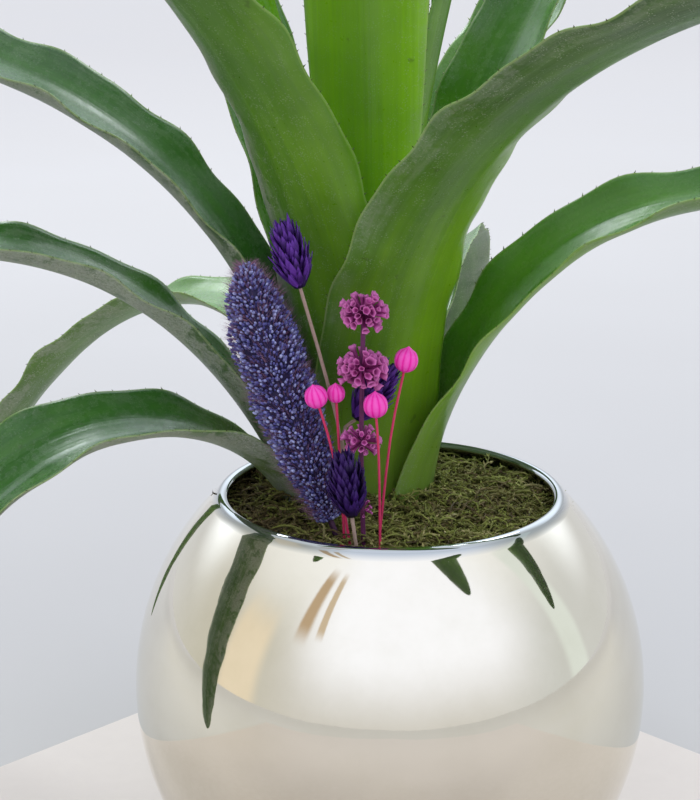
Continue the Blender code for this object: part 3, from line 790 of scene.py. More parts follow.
def leaf_sheet(spec, rows, columns):
    """Points over a leaf's middle surface, with the half width at each row."""
    t = np.linspace(0.0, 1.0, rows)
    lean = np.radians(smoothed(spec["lean"], t))
    turn = np.radians(smoothed(spec["heading"], t))
    flat = np.stack([np.cos(turn), np.sin(turn), np.zeros_like(t)], 1)
    along = flat * np.sin(lean)[:, None] + UP * np.cos(lean)[:, None]
    level_side = np.stack([-np.sin(turn), np.cos(turn), np.zeros_like(t)], 1)
    level_inner = np.cross(along, level_side)
    roll = np.radians(smoothed(spec.get("roll", (0.0, 0.0, 0.0)), t))[:, None]
    side = level_side * np.cos(roll) + level_inner * np.sin(roll)
    inner = level_inner * np.cos(roll) - level_side * np.sin(roll)

    ring_radius = OUTER_RING_RADIUS - spec["ring"] * RING_PITCH
    foot = np.array([*rosette_centre(), mix_top() + FOOT_CLEARANCE]) + flat[0] * ring_radius
    steps = (along[1:] + along[:-1]) / 2 * spec["length"] / (rows - 1)
    line = np.vstack([foot, foot + np.cumsum(steps, axis=0)])

    opening = np.clip(t * spec["length"] / spec.get("opening", 0.10), 0.0, 1.0)
    opening = opening**2 * (3 - 2 * opening)
    past = np.clip((t - TAPER_START) / (1.0 - TAPER_START), 0.0, 1.0)
    blade_half = np.maximum(spec["width"] / 2 * np.sqrt(1.0 - past**2.2), TIP_HALF_WIDTH)
    sheath_half = math.radians(spec["wrap"]) * ring_radius
    half = sheath_half + (blade_half - sheath_half) * opening
    channel = ring_radius + (spec.get("channel", 0.034) - ring_radius) * opening

    across = np.linspace(-1.0, 1.0, columns)
    angle = across[None, :] * (half / channel)[:, None]
    sideways = (channel[:, None] * np.sin(angle))[..., None]
    inwards = (channel[:, None] * (1.0 - np.cos(angle)))[..., None]
    sheet = line[:, None] + side[:, None] * sideways + inner[:, None] * inwards
    return sheet, inner, half, opening, t


def spread_over(rows, t, across):
    """Values over a leaf from rows of (one margin, middle, other margin), base to tip."""
    along = smoothed([np.broadcast_to(row, 3) for row in rows], t)
    return np.stack([np.interp(across, (-1.0, 0.0, 1.0), row) for row in along])


def leaf_parts(name, spec, chance):
    """A leaf's skin, with both faces and thin wavy margins, and its marginal spines."""
    sheet, inner, half, opening, t = leaf_sheet(spec, LEAF_ROWS, LEAF_COLUMNS)
    across = np.linspace(-1.0, 1.0, LEAF_COLUMNS)
    distance = t * spec["length"]

    phase = chance.uniform(0.0, math.tau, 6)
    wave = np.empty((LEAF_ROWS, LEAF_COLUMNS))
    fade = (opening * smooth_step(0.0, 0.12, 1.0 - t))[:, None]
    for i, sign in enumerate((-1.0, 1.0)):
        long, short = (distance * math.tau / length for length in MARGIN_WAVELENGTHS)
        ripple = np.sin(long + phase[i]) + 0.6 * np.sin(short + phase[i + 2])
        mine = across * sign > 0
        wave[:, mine] = ripple[:, None] * (np.abs(across[mine]) ** 3)[None]
    wave[:, across == 0] = 0.0
    grooves = GROOVE_DEPTH * np.cos(across * 9.5 + phase[4])[None] * np.sin(np.pi * (across + 1) / 2)[None]
    push = wave * MARGIN_WAVE * fade + grooves * fade
    sheet = sheet + inner[:, None] * push[..., None]

    d_along = np.gradient(sheet, axis=0)
    d_across = np.gradient(sheet, axis=1)
    normal = unit(np.cross(d_across, d_along))
    normal *= np.sign(np.sum(normal * inner[:, None], axis=2, keepdims=True))
    thick = MARGIN_THICKNESS + (LEAF_THICKNESS - MARGIN_THICKNESS) * np.sqrt(1.0 - across**2 * 0.98)
    thick = thick[None, :] * smooth_step(-0.05, 0.04, 1.0 - t)[:, None]
    upper = sheet + normal * (thick / 2)[..., None]
    lower = sheet - normal * (thick / 2)[..., None]

    ring = np.concatenate([upper, lower[:, ::-1]], axis=1)
    columns = 2 * LEAF_COLUMNS
    faces = grid_faces(LEAF_ROWS, columns, wrap=True)
    last = (LEAF_ROWS - 1) * columns
    for i in range(LEAF_COLUMNS - 1):
        faces.append([i + 1, i, columns - 1 - i, columns - 2 - i])
        faces.append([last + i, last + i + 1, last + columns - 2 - i, last + columns - 1 - i])
    both = np.concatenate([across, across[::-1]])
    skin = dict(
        points=ring.reshape(-1, 3),
        faces=faces,
        across=np.tile(np.abs(both), LEAF_ROWS),
        side=(half[:, None] * both[None]).ravel(),
        along=np.repeat(distance, columns),
        under=np.tile((np.arange(columns) >= LEAF_COLUMNS).astype(float), LEAF_ROWS),
        tone=spread_over(spec["tone"], t, both).ravel(),
        scurf=spread_over(spec["scurf"], t, both).ravel(),
        spine=np.zeros(LEAF_ROWS * columns),
    )

    base_corners = [(-0.5, 0.0, 0.0), (0.5, 0.0, 0.0), (0.0, 0.45, 0.0), (0.0, -0.45, 0.0)]
    shape = np.array(base_corners + [(0.9, 0.0, 1.0)])
    spine_faces = [(0, 2, 4), (2, 1, 4), (1, 3, 4), (3, 0, 4), (0, 3, 1, 2)]
    places, turns, sizes = [], [], []
    for column, sign in ((0, -1.0), (LEAF_COLUMNS - 1, 1.0)):
        at = 0.035 + chance.uniform(0.0, SPINE_SPACING)
        while at < spec["length"] * 0.985:
            row = min(int(round(at / spec["length"] * (LEAF_ROWS - 1))), LEAF_ROWS - 2)
            tangent = unit(sheet[row + 1, column] - sheet[row, column])
            out = sheet[row, column] - sheet[row, column - int(sign)]
            out = unit(out - tangent * (out @ tangent))
            places.append(sheet[row, column] - out * 0.0002)
            turns.append(np.stack([tangent, np.cross(out, tangent), out], axis=1))
            size = chance.uniform(0.65, 1.15)
            sizes.append((SPINE_WIDTH * size, SPINE_WIDTH * 0.7, SPINE_HEIGHT * size))
            at += SPINE_SPACING * chance.uniform(0.75, 1.3)
    spines = scattered(
        shape, spine_faces, np.array(turns), np.array(places), np.array(sizes),
        spine=np.array([0.35, 0.35, 0.35, 0.35, 1.0]),
    )
    total = len(spines["points"])
    spines.update(across=np.ones(total), along=np.full(total, 0.2), tone=np.full(total, 0.5))
    return [skin, spines]


def build_leaves(finish):
    for number, (name, spec) in enumerate(LEAVES.items()):
        chance = np.random.default_rng(SEED + number)
        add_piece(f"{name}_blade", leaf_parts(name, spec, chance), finish, [name])


# ---- moss

MOSS_BED_GRID = (34, 120)
MOSS_STRANDS = 4600
MOSS_STRAND_ROWS = 6
MOSS_LEAFLETS = 9


def moss_height(x, y):
    """Height of the moss bed, heaped a little towards the rosette and the back right."""
    share = np.hypot(x, y) / MOUTH_RADIUS
    base = moss_edge_top() + MOSS_CROWN * (1.0 - share**2)
    heap = 0.0035 * smooth_step(-0.03, 0.05, y) + 0.0016 * np.sin(x * 190 + 1.0) * np.cos(y * 160)
    heap = heap + 0.0012 * moss_clumps(x, y)
    return base - 0.001 + heap * (1.0 - smooth_step(0.75, 1.0, share) * 0.6)


def rosette_distance(x, y):
    cx, cy = rosette_centre()
    return np.hypot(x - cx, y - cy)


def moss_clumps(x, y):
    """A patchy wave from -1 to 1 that heaps the moss and changes its colour."""
    return np.sin(x * 430 + 2.0 * np.sin(y * 300)) * np.sin(y * 390 + 1.3)


def build_moss(bed_finish, strand_finish):
    """A matted bed and thousands of short curled strands with small leaflets."""
    chance = np.random.default_rng(SEED + 100)
    edge = float(bowl_radius_at(moss_edge_top(), GLASS)) - 0.0006
    bottom = mix_top() + 0.0006
    rings, spokes = MOSS_BED_GRID
    radii = edge * np.sqrt(np.linspace(0.0004, 1.0, rings))
    angle = np.arange(spokes) * math.tau / spokes
    x = radii[:, None] * np.cos(angle)[None]
    y = radii[:, None] * np.sin(angle)[None]
    z = moss_height(x, y) + 0.0012 * np.sin(x * 610 + 2) * np.sin(y * 560)
    z = z + 0.0006 * np.sin(x * 1500) * np.cos(y * 1350)
    dip = smooth_step(0.016, 0.030, rosette_distance(x, y))
    z = bottom + 0.0015 + (z - bottom - 0.0015) * dip
    top = np.stack([x, y, z], -1).reshape(-1, 3)
    under = np.array([(edge * math.cos(a), edge * math.sin(a), bottom) for a in angle])
    points = np.concatenate([top, under])
    faces = grid_faces(rings + 1, spokes, wrap=True)
    faces.append(list(range(spokes))[::-1])
    faces.append([rings * spokes + i for i in range(spokes)])
    bed = dict(points=points, faces=faces)
    add_piece("moss_bed", [bed], bed_finish, ["moss"])

    radius = (edge - 0.0015) * np.sqrt(chance.uniform(0.0, 1.0, MOSS_STRANDS * 2))
    turn = chance.uniform(0.0, math.tau, MOSS_STRANDS * 2)
    x, y = radius * np.cos(turn), radius * np.sin(turn)
    keep = rosette_distance(x, y) > OUTER_RING_RADIUS + 0.001
    x, y = x[keep][:MOSS_STRANDS], y[keep][:MOSS_STRANDS]
    count = len(x)
    heading = chance.uniform(0.0, math.tau, count)
    length = chance.uniform(0.006, 0.017, count)
    rise = chance.uniform(-0.1, 0.9, count)
    curl = chance.uniform(-2.4, 2.4, count)
    width = chance.uniform(0.00034, 0.00066, count)
    pick = chance.normal(0.54, 0.20, count) + 0.16 * np.sin(x * 120) * np.sin(y * 110 + 1)
    pick = pick + 0.26 * moss_clumps(x, y)
    pick = np.clip(pick - 0.25 * smooth_step(0.0, -0.05, x), 0.02, 0.99)
    rows = MOSS_STRAND_ROWS
    s = np.linspace(0.0, 1.0, rows)
    way = heading[:, None] + curl[:, None] * s[None]
    climb = rise[:, None] * np.cos(s[None] * 2.6)
    step = (length / (rows - 1))[:, None]
    px = x[:, None] + np.cumsum(np.cos(way) * step * np.cos(climb), axis=1)
    py = y[:, None] + np.cumsum(np.sin(way) * step * np.cos(climb), axis=1)
    pz = moss_height(x, y)[:, None] + 0.0002 + np.cumsum(np.sin(climb) * step, axis=1)
    pz += chance.uniform(-0.0005, 0.0030, count)[:, None]
    limit = (bowl_radius_at(moss_edge_top() + 0.004, GLASS) - 0.0012) / np.maximum(np.hypot(px, py), 1e-9)
    squeeze = np.minimum(1.0, limit)
    px, py = px * squeeze, py * squeeze
    line = np.stack([px, py, pz], -1)

    tangent = unit(np.gradient(line, axis=1))
    side = unit(np.cross(tangent, UP))
    other = np.cross(side, tangent)
    taper = width[:, None] * (1.0 - 0.75 * s[None] ** 2)
    corners = []
    for a in np.arange(3) * math.tau / 3 + math.pi / 2:
        corners.append(line + (side * math.cos(a) + other * math.sin(a)) * taper[..., None])
    points = np.stack(corners, axis=2).reshape(-1, 3)
    single = grid_faces(rows, 3, wrap=True)
    single.append([0, 2, 1])
    single.append([(rows - 1) * 3 + i for i in range(3)])
    block = rows * 3
    faces = [tuple(i + k * block for i in face) for k in range(count) for face in single]
    strands = dict(
        points=points, faces=faces, pick=np.repeat(pick, block),
        along=np.tile(np.repeat(s, 3), count),
    )

    share = np.tile((np.arange(MOSS_LEAFLETS) + 0.5) / MOSS_LEAFLETS, count)
    owner = np.repeat(np.arange(count), MOSS_LEAFLETS)
    place = share * (rows - 1)
    low = np.floor(place).astype(int)
    f = (place - low)[:, None]
    base = line[owner, low] * (1 - f) + line[owner, low + 1] * f
    way = tangent[owner, low] * 0.75
    swing = np.where(np.arange(len(owner)) % 2 == 0, 1.0, -1.0)[:, None]
    way = way + side[owner, low] * swing * chance.uniform(0.5, 1.1, len(owner))[:, None]
    way = way + other[owner, low] * chance.uniform(-0.2, 0.8, len(owner))[:, None]
    outline = [(0.0, 0.0, 0.0), (0.5, 0.0, 0.4), (0.0, 0.12, 1.0), (-0.5, 0.0, 0.4)]
    leaflet = np.array(outline + [(0.0, 0.25, 0.35)])
    leaflet_faces = [(0, 1, 4), (1, 2, 4), (2, 3, 4), (3, 0, 4), (0, 3, 2, 1)]
    ranges = ((0.0006, 0.0010), (0.0004, 0.0006), (0.0011, 0.0025))
    sizes = np.stack([chance.uniform(least, most, len(owner)) for least, most in ranges], 1)
    leaflets = scattered(
        leaflet, leaflet_faces, turns_to(way, chance.uniform(0, math.tau, len(owner))), base, sizes,
        pick=np.clip(pick[owner] + chance.uniform(-0.1, 0.2, len(owner)), 0.0, 1.0),
        along=np.array([0.3, 0.7, 1.0, 0.7, 0.8]),
    )
    add_piece("moss_strands", [strands], strand_finish, ["moss"])
    add_piece("moss_leaflets", [leaflets], strand_finish, ["moss"], flat=True)


# ---- dried flowers

GOLDEN_ANGLE = math.pi * (3.0 - math.sqrt(5.0))
FOXTAIL_BEADS = 3600
FOXTAIL_BRISTLES = 4200
CANARY_SCALES = 150


def ball(rows, sides):
    """A closed unit ball about the origin."""
    profile = [(math.sin(math.pi * i / rows), -math.cos(math.pi * i / rows)) for i in range(rows + 1)]
    profile[0] = (0.0, -1.0)
    profile[-1] = (0.0, 1.0)
    return turned(profile, sides)


def build_foxtail(bead_finish, bristle_finish, core_finish):
    """A foxtail seed head: beads packed in a spiral on a core, and bristles between them."""
    chance = np.random.default_rng(SEED + 200)
    axis = [placed(point) for point in FOXTAIL_HEAD]
    fine = np.linspace(0.0, 1.0, 60)
    line = smoothed(axis, fine)
    size = smoothed(FOXTAIL_HEAD_SHAPE, fine) * FOXTAIL_HEAD_RADIUS
    size = size * np.sqrt(1.0 - 0.93 * np.clip((fine - 0.70) / 0.30, 0.0, 1.0) ** 2.4)
    size = size * (1.0 + 0.045 * np.sin(fine * 31.0) + 0.035 * np.sin(fine * 53.0 + 1.0))
    tangent, across, other = frames_along(line)
    line[0] += tangent[0] * 0.0005

    beads = FOXTAIL_BEADS
    weight = np.cumsum(size)
    weight = weight / weight[-1]
    t = np.interp((np.arange(beads) + 0.5) / beads, weight, fine)
    t = np.clip(t + chance.normal(0, 0.004, beads), 0.0, 1.0)
    turn = np.arange(beads) * GOLDEN_ANGLE + chance.normal(0, 0.10, beads)
    index = t * (len(fine) - 1)

    def at(values):
        return np.stack([np.interp(index, np.arange(len(fine)), values[:, k]) for k in range(3)], 1)

    radius = np.interp(t, fine, size)
    out = at(across) * np.cos(turn)[:, None] + at(other) * np.sin(turn)[:, None]
    depth = chance.uniform(0.70, 1.0, beads) * radius
    place = at(line) + out * depth[:, None]
    way = out + at(tangent) * (0.75 + 1.5 * smooth_step(0.85, 1.0, t))[:, None]
    shape, faces = ball(4, 6)
    thick = chance.uniform(0.00040, 0.00064, beads)
    sizes = np.stack([thick, thick, thick * chance.uniform(1.4, 2.0, beads)], 1)
    # pick gives some beads the lightest, whitish blue shade, which is partly painted highlight for glints on
    # the glossy beads.
    grains = scattered(
        shape, faces, turns_to(way, turn), place, sizes, pick=chance.uniform(0.0, 1.0, beads),
        along=(shape[:, 2] + 1) / 2,
    )
    add_piece("foxtail_beads", [grains], bead_finish, ["foxtail_head"])

    core = tube(line, size * 0.74, sides=20)
    add_piece("foxtail_core", [core], core_finish, ["foxtail_head"])

    bristles = FOXTAIL_BRISTLES
    t = chance.uniform(0.0, 1.0, bristles)
    index = t * (len(fine) - 1)
    turn = chance.uniform(0.0, math.tau, bristles)
    out = at(across) * np.cos(turn)[:, None] + at(other) * np.sin(turn)[:, None]
    base = at(line) + out * (np.interp(t, fine, size) * 0.7)[:, None]
    way = out * chance.uniform(0.6, 1.2, bristles)[:, None]
    way = way + at(tangent) * chance.uniform(0.3, 1.1, bristles)[:, None]
    shape = np.array([(0.5, 0.0, 0.0), (-0.25, 0.43, 0.0), (-0.25, -0.43, 0.0), (0.0, 0.0, 1.0)])
    faces = [(0, 1, 3), (1, 2, 3), (2, 0, 3), (2, 1, 0)]
    thin = chance.uniform(0.00012, 0.00020, bristles)
    long = chance.uniform(0.0052, 0.0088, bristles) * (1.0 - 0.45 * smooth_step(0.80, 1.0, t))
    sizes = np.stack([thin, thin, long], 1)
    hairs = scattered(
        shape, faces, turns_to(way, turn), base, sizes, pick=chance.uniform(0.0, 1.0, bristles),
        along=np.array([0.0, 0.0, 0.0, 1.0]),
    )
    add_piece("foxtail_bristles", [hairs], bristle_finish, ["foxtail_head"], flat=True)


def scale_shape():
    """A boat-shaped, keeled, pointed scale that stands on the origin and points to +Z."""
    rows, columns = 6, 5
    points = []
    for i in range(rows + 1):
        s = i / rows
        half = 0.5 * math.sin(math.pi * (0.16 + 0.84 * s)) * (1.0 - 0.25 * s)
        bow = 0.16 * math.sin(math.pi * s) + 0.10 * s * s
        for j in range(columns):
            u = -1.0 + 2.0 * j / (columns - 1)
            keel = 0.16 * (1.0 - abs(u)) * (1 - s * 0.5)
            points.append((half * u, bow + keel, s))
    front = np.array(points)
    back = front - np.array([0.0, 0.05, 0.0])
    faces = grid_faces(rows + 1, columns)
    offset = len(front)
    faces += [[i + offset for i in face[::-1]] for face in grid_faces(rows + 1, columns)]
    for i in range(rows):
        a, b = i * columns, (i + 1) * columns
        faces.append([b, a, a + offset, b + offset])
        a, b = a + columns - 1, b + columns - 1
        faces.append([a, b, b + offset, a + offset])
    for j in range(columns - 1):
        faces.append([j + 1, j, j + offset, j + 1 + offset][::-1])
        k = rows * columns + j
        faces.append([k, k + 1, k + 1 + offset, k + offset][::-1])
    return np.concatenate([front, back]), faces


def build_canary_head(name, finish, chance):
    """An egg-shaped head of overlapping keeled scales on a short spindle."""
    route = full_route(CANARY_GRASS[name])
    base = np.array(route[-1])
    direction = unit(base - np.array(route[-2]))
    _, across, other = frames_along(np.array([base, base + direction]))
    across, other = across[0], other[0]
    count = CANARY_SCALES
    order = (np.arange(count) + 0.5) / count
    share = 0.01 + 0.78 * order
    turn = np.arange(count) * GOLDEN_ANGLE + chance.normal(0, 0.12, count)
    bulge = np.sin(np.pi * np.clip(share, 0, 1) ** 0.62) ** 0.85
    radius = CANARY_HEAD_RADIUS * 0.52 * bulge
    out = across * np.cos(turn)[:, None] + other * np.sin(turn)[:, None]
    place = base + direction * (share * CANARY_HEAD_LENGTH * 0.86)[:, None] + out * radius[:, None]
    spread = 0.62 - 0.50 * order + chance.uniform(-0.12, 0.12, count)
    turns = turns_facing(unit(direction + out * spread[:, None]), out)
    length = chance.uniform(0.0060, 0.0082, count)
    sizes = np.stack([length * 0.36, length * 0.30, length], 1)
    shape, faces = scale_shape()
    scales = scattered(
        shape, faces, turns, place, sizes, pick=chance.uniform(0.0, 1.0, count), along=shape[:, 2]
    )
    core_rows = np.linspace(0.0, 1.0, 12)
    core_line = base + direction * (0.0004 + core_rows * CANARY_HEAD_LENGTH * 0.86)[:, None]
    core_radii = CANARY_HEAD_RADIUS * 0.54 * np.sin(np.pi * (0.05 + 0.9 * core_rows) ** 0.62)
    core = tube(core_line, core_radii, sides=12)
    core["pick"] = np.zeros(len(core["points"]))
    core["along"] = np.zeros(len(core["points"]))
    add_piece(
        f"canary_grass_scales_{name}", [scales, core], finish, [f"canary_grass_head_{name}"]
    )


def calyx_shape():
    """A small five-toothed cup that stands on the origin and opens to +Z."""
    sides = 15
    outer = [(0.09, 0.0), (0.20, 0.14), (0.26, 0.45), (0.35, 0.76), (0.50, 0.94), (0.56, 1.0)]
    inner = [(0.50, 0.965), (0.34, 0.84), (0.24, 0.72), (0.0, 0.66)]
    points, faces = turned([(0.0, 0.0)] + outer + inner, sides)
    angle = np.arctan2(points[:, 1], points[:, 0])
    reach = np.hypot(points[:, 0], points[:, 1])
    rim = smooth_step(0.70, 1.0, points[:, 2]) * (reach > 0.05)
    lobe = np.abs(np.cos(2.5 * angle)) ** 0.6
    points[:, 2] += (0.07 * lobe - 0.03) * rim
    wide = 1.0 + (0.22 * lobe - 0.14) * rim + 0.05 * np.cos(5 * angle)
    points[:, 0] *= wide
    points[:, 1] *= wide
    return points, faces


def build_whorl(name, spec, route, finish, chance):
    """A whorl of cup-shaped calyces that point outwards and up from the stem."""
    line = smoothed(route, np.linspace(0.0, 1.0, 200))
    centre = line[np.argmin(np.abs(line[:, 2] - (moss_edge_top() + spec["rise"])))]
    count = spec["calyces"]
    order = (np.arange(count) + 0.5) / count
    turn = np.arange(count) * GOLDEN_ANGLE
    height = -0.75 + 1.55 * order + chance.normal(0, 0.05, count)
    tilt = np.arcsin(np.clip(height, -0.9, 0.98))
    out = np.stack([np.cos(turn), np.sin(turn), np.zeros(count)], 1)
    way = out * np.cos(tilt)[:, None] + UP * (np.sin(tilt) * 0.9 + 0.15)[:, None]
    way += chance.normal(0, 0.10, (count, 3))
    base = centre + out * (WHORL_STEM_RADIUS + 0.0002)
    base = base + UP * (np.sin(tilt) * spec["depth"] * 0.16)[:, None]
    reach = spec["radius"] - WHORL_STEM_RADIUS
    length = reach * (1.0 - 0.25 * np.abs(np.sin(tilt))) * chance.uniform(0.74, 1.06, count)
    shape, faces = calyx_shape()
    broad = length * chance.uniform(0.30, 0.46, count)
    sizes = np.stack([broad, broad * chance.uniform(0.6, 1.0, count), length], 1)
    cups = scattered(
        shape, faces, turns_to(way, chance.uniform(0, math.tau, count)), base, sizes,
        pick=chance.uniform(0.0, 1.0, count), along=np.clip(shape[:, 2], 0, 1),
    )
    add_piece(f"{name}_calyces", [cups], finish, [name])


FLAX_RIBS = 10
FLAX_SEPALS = 5
SEPAL_SHARES = (0.5, 0.4, 0.75)


def build_flax_pod(name, spec, finish):
    """A round, ten-ribbed pod with a short point and small sepals at its base."""
    route = full_route(spec["route"])
    base = np.array(route[-1])
    direction = base - np.array(route[-2])
    radius = spec["pod_radius"]
    rows, sides = 22, 60
    points = []
    ridge = []
    for i in range(rows + 1):
        s = i / rows
        a = math.pi * s
        body = math.sin(a) ** 0.92 if 0 < i < rows else 0.0
        height = 1.0 - math.cos(a)
        point = max(0.0, s - 0.86) / 0.14
        height += 0.22 * point**2
        for j in range(sides):
            turn = math.tau * j / sides
            valley = abs(math.cos(FLAX_RIBS / 2 * turn)) ** 0.5
            rib = 1.0 - 0.075 * (1.0 - valley) * math.sin(a)
            points.append((body * rib * math.cos(turn), body * rib * math.sin(turn), height))
            ridge.append(valley)
    shape = np.array(points)
    faces = grid_faces(rows + 1, sides, wrap=True)
    turns = turns_to(direction[None], np.array([0.0]))
    pod = scattered(shape, faces, turns, base[None], np.array([radius]))
    pod["pick"] = np.array(ridge) * 0.8 + 0.1
    pod["along"] = shape[:, 2] / 2.2
    sepal, sepal_faces = scale_shape()
    angle = np.arange(FLAX_SEPALS) * math.tau / FLAX_SEPALS
    out = np.stack([turns[0] @ np.array([math.cos(a), math.sin(a), 0.0]) for a in angle])
    sepals = scattered(
        sepal, sepal_faces, turns_facing(unit(unit(direction) + out * 1.1), out), base + out * radius * 0.10,
        np.full((FLAX_SEPALS, 3), radius) * SEPAL_SHARES, pick=np.zeros(FLAX_SEPALS),
    )
    add_piece(f"flax_pod_{name}_ribbed", [pod, sepals], finish, [f"flax_pod_{name}"])


# ---- stage and light


TABLE_SIDE = 1.7
TABLE_THICKNESS = 0.012
TABLE_FAR_CORNER = (-0.008, 0.279, 0.0)
FLOOR_REACH = 60.0


def stage_object(name, points, faces, finish):
    mesh = bpy.data.meshes.new(name)
    mesh.from_pydata(points, [], faces)
    mesh.materials.append(finish)
    return add_object(name, mesh)


def square(half, z):
    return [(-half, -half, z), (half, -half, z), (half, half, z), (-half, half, z)]


def build_stage(table_finish, floor_finish):
    """A pale board under the vase, one corner to the back, on a plain pale floor."""
    half = TABLE_SIDE / 2
    points = square(half, -TABLE_THICKNESS) + square(half, 0.0)
    faces = [(3, 2, 1, 0), (4, 5, 6, 7), (0, 1, 5, 4), (1, 2, 6, 5), (2, 3, 7, 6), (3, 0, 4, 7)]
    table = stage_object("table", points, faces, table_finish)
    table.rotation_euler = (0.0, 0.0, math.radians(45))
    table.location = Vector(TABLE_FAR_CORNER) - Vector((0.0, half * math.sqrt(2), 0.0))
    bevel = table.modifiers.new("edge", "BEVEL")
    bevel.width = 0.003
    bevel.segments = 3
    floor = stage_object("floor", square(FLOOR_REACH, -TABLE_THICKNESS), [(0, 1, 2, 3)], floor_finish)


def direction_to(azimuth, elevation):
    """A unit vector: azimuth 0 is the front (-Y), 90 the right (+X), 180 the back."""
    a, e = math.radians(azimuth), math.radians(elevation)
    return (math.sin(a) * math.cos(e), -math.cos(a) * math.cos(e), math.sin(e))


LIT_POINT = Vector((0.0, 0.0, 0.2))
LIGHT_DISTANCE = 2.4


def build_light():
    """A soft studio: a pale room with one very large window in front and two soft lights behind."""
    world = bpy.data.worlds.new("studio")
    world.use_nodes = True
    bpy.context.scene.world = world
    n = Nodes(world.node_tree)
    background = world.node_tree.nodes["Background"]
    x, y, z = n.parts(n.add("ShaderNodeTexCoord").outputs["Generated"])
    azimuth = n.math("ARCTAN2", x, n.times(y, -1.0))
    elevation = n.math("ARCSINE", z)

    def span(value, start, full_start, full_end, end):
        """1 between full_start and full_end degrees, and a soft fall to 0 at start and end."""
        low = n.ramp(value, math.radians(start), math.radians(full_start))
        high = n.ramp(value, math.radians(full_end), math.radians(end), 1.0, 0.0)
        return n.times(low, high)

    def patch(colour, azimuths, elevations, new):
        share = n.times(span(azimuth, *azimuths), span(elevation, *elevations))
        return n.mix(share, colour, new)

    colour = n.mix(n.ramp(x, -0.9, 0.9), (0.72, 0.71, 0.64), (0.77, 0.80, 0.82))
    colour = n.mix(n.ramp(y, 0.0, 0.9), colour, (0.78, 0.80, 0.84))
    colour = n.mix(n.ramp(y, -0.9, -0.2, 1.0, 0.0), colour, (0.77, 0.76, 0.74))
    colour = n.mix(n.ramp(z, 0.30, 0.95), colour, (1.15, 1.18, 1.24))
    back_glow = n.times(n.ramp(y, 0.25, 0.80), span(elevation, 8, 26, 48, 70))
    colour = n.mix(back_glow, colour, (1.85, 1.98, 2.20))
    colour = patch(colour, (-86, -79, -66, -59), (-14, -4, 22, 40), (1.00, 0.89, 0.72))
    colour = patch(colour, (-62, -24, 46, 88), (-8, 30, 64, 86), (1.24, 1.29, 1.46))
    colour = patch(colour, (-52, -50, -46, -43), (26, 36, 54, 62), (0.62, 0.47, 0.32))
    colour = patch(colour, (-41, -40, -37, -36), (30, 36, 56, 62), (0.75, 0.62, 0.47))
    colour = patch(colour, (84, 88, 96, 100), (-14, -2, 44, 56), (0.90, 0.98, 0.98))
    n.feed(background.inputs["Color"], colour)
    background.inputs["Strength"].default_value = 1.0

    for name, azimuth, elevation, size, power, tint in (
        ("back_left", 205, 44, 0.8, 15.0, (0.90, 0.96, 1.0)),
        ("back_right", 150, 50, 0.7, 10.0, (0.92, 0.97, 1.0)),
    ):
        data = bpy.data.lights.new(name, "AREA")
        data.shape = "DISK"
        data.size = size
        data.energy = power
        data.color = tint
        light = add_object(name, data)
        place = Vector(direction_to(azimuth, elevation)) * LIGHT_DISTANCE + LIT_POINT
        light.location = place
        light.rotation_euler = (LIT_POINT - place).to_track_quat("-Z", "Y").to_euler()

    bpy.context.scene.view_settings.view_transform = "Standard"


# ---- everything together


def finish_cad_node(name, finish):
    """Keeps a CAD node and gives it a better material."""
    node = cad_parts[name]
    node.data.materials.clear()
    node.data.materials.append(finish)
    node.data.shade_smooth()


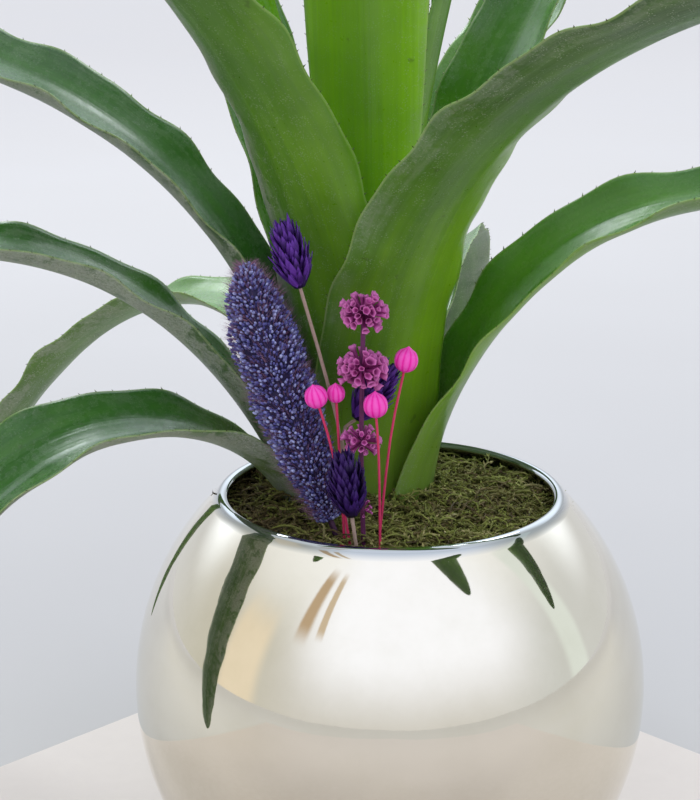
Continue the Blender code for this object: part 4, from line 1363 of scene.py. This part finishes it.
def main():
    build_vase(mirror_glass())
    leaf = leaf_skin()
    build_leaves(leaf)
    build_moss(moss_bed(), moss_strand())
    build_foxtail(
        # The beads' lightest colour, a pale whitish blue, is partly painted highlight standing in for glints
        # on the glossy beads.
        dyed("foxtail_bead_look", (0.040, 0.034, 0.140), (0.120, 0.120, 0.380), (0.430, 0.470, 0.800)),
        dyed("foxtail_bristle_look", (0.110, 0.045, 0.120), (0.270, 0.120, 0.240), (0.480, 0.270, 0.360)),
        dyed("foxtail_core_look", (0.018, 0.013, 0.055), (0.040, 0.030, 0.115), (0.070, 0.055, 0.165)),
    )
    # The canary scales' dark lower part is partly their dye and partly painted shade under the overlapping
    # scales. The lighter violet shows from 0.45 or 0.40 of the way to the tip.
    violet = dyed(
        "canary_scale_look", (0.008, 0.001, 0.032), (0.036, 0.006, 0.120), (0.120, 0.030, 0.330), 0.48,
        tip_colour=((0.140, 0.040, 0.380), 0.45),
    )
    indigo = dyed(
        "canary_scale_dark_look", (0.004, 0.001, 0.016), (0.014, 0.003, 0.055), (0.045, 0.012, 0.140), 0.40,
        tip_colour=((0.045, 0.014, 0.150), 0.40),
    )
    chance = np.random.default_rng(SEED + 300)
    for name in CANARY_GRASS:
        build_canary_head(name, indigo if name == "front" else violet, chance)
    mauve = dyed(
        "whorl_look", (0.110, 0.006, 0.070), (0.300, 0.030, 0.190), (0.500, 0.085, 0.350), 0.55,
        tip_colour=((0.72, 0.20, 0.54), 0.72),
    )
    route = full_route(WHORL_STEM)
    for name, spec in WHORLS.items():
        build_whorl(name, spec, route, mauve, chance)
    pink = dyed("flax_pod_look", (0.80, 0.006, 0.30), (0.97, 0.020, 0.47), (1.00, 0.12, 0.62), 0.36)
    for name, spec in FLAX_PODS.items():
        build_flax_pod(name, spec, pink)

    straw = dyed("straw_look", (0.36, 0.25, 0.21), (0.58, 0.44, 0.38), (0.74, 0.60, 0.52), 0.5)
    violet_straw = dyed("violet_straw_look", (0.08, 0.03, 0.08), (0.20, 0.10, 0.18), (0.32, 0.20, 0.28))
    mauve_stem = dyed("mauve_stem_look", (0.10, 0.02, 0.08), (0.24, 0.05, 0.18), (0.38, 0.12, 0.30))
    pink_stem = dyed("pink_stem_look", (0.62, 0.03, 0.12), (0.80, 0.08, 0.20), (0.90, 0.20, 0.30), 0.5)
    finish_cad_node("foxtail_stem", violet_straw)
    finish_cad_node("whorl_stem", mauve_stem)
    for name in CANARY_GRASS:
        finish_cad_node(f"canary_grass_stem_{name}", straw)
    for name in FLAX_PODS:
        finish_cad_node(f"flax_stem_{name}", pink_stem)
    finish_cad_node("potting_mix", potting_soil())
    finish_cad_node("stem_base", leaf)

    build_stage(table_top(), floor_paint())
    build_light()


main()
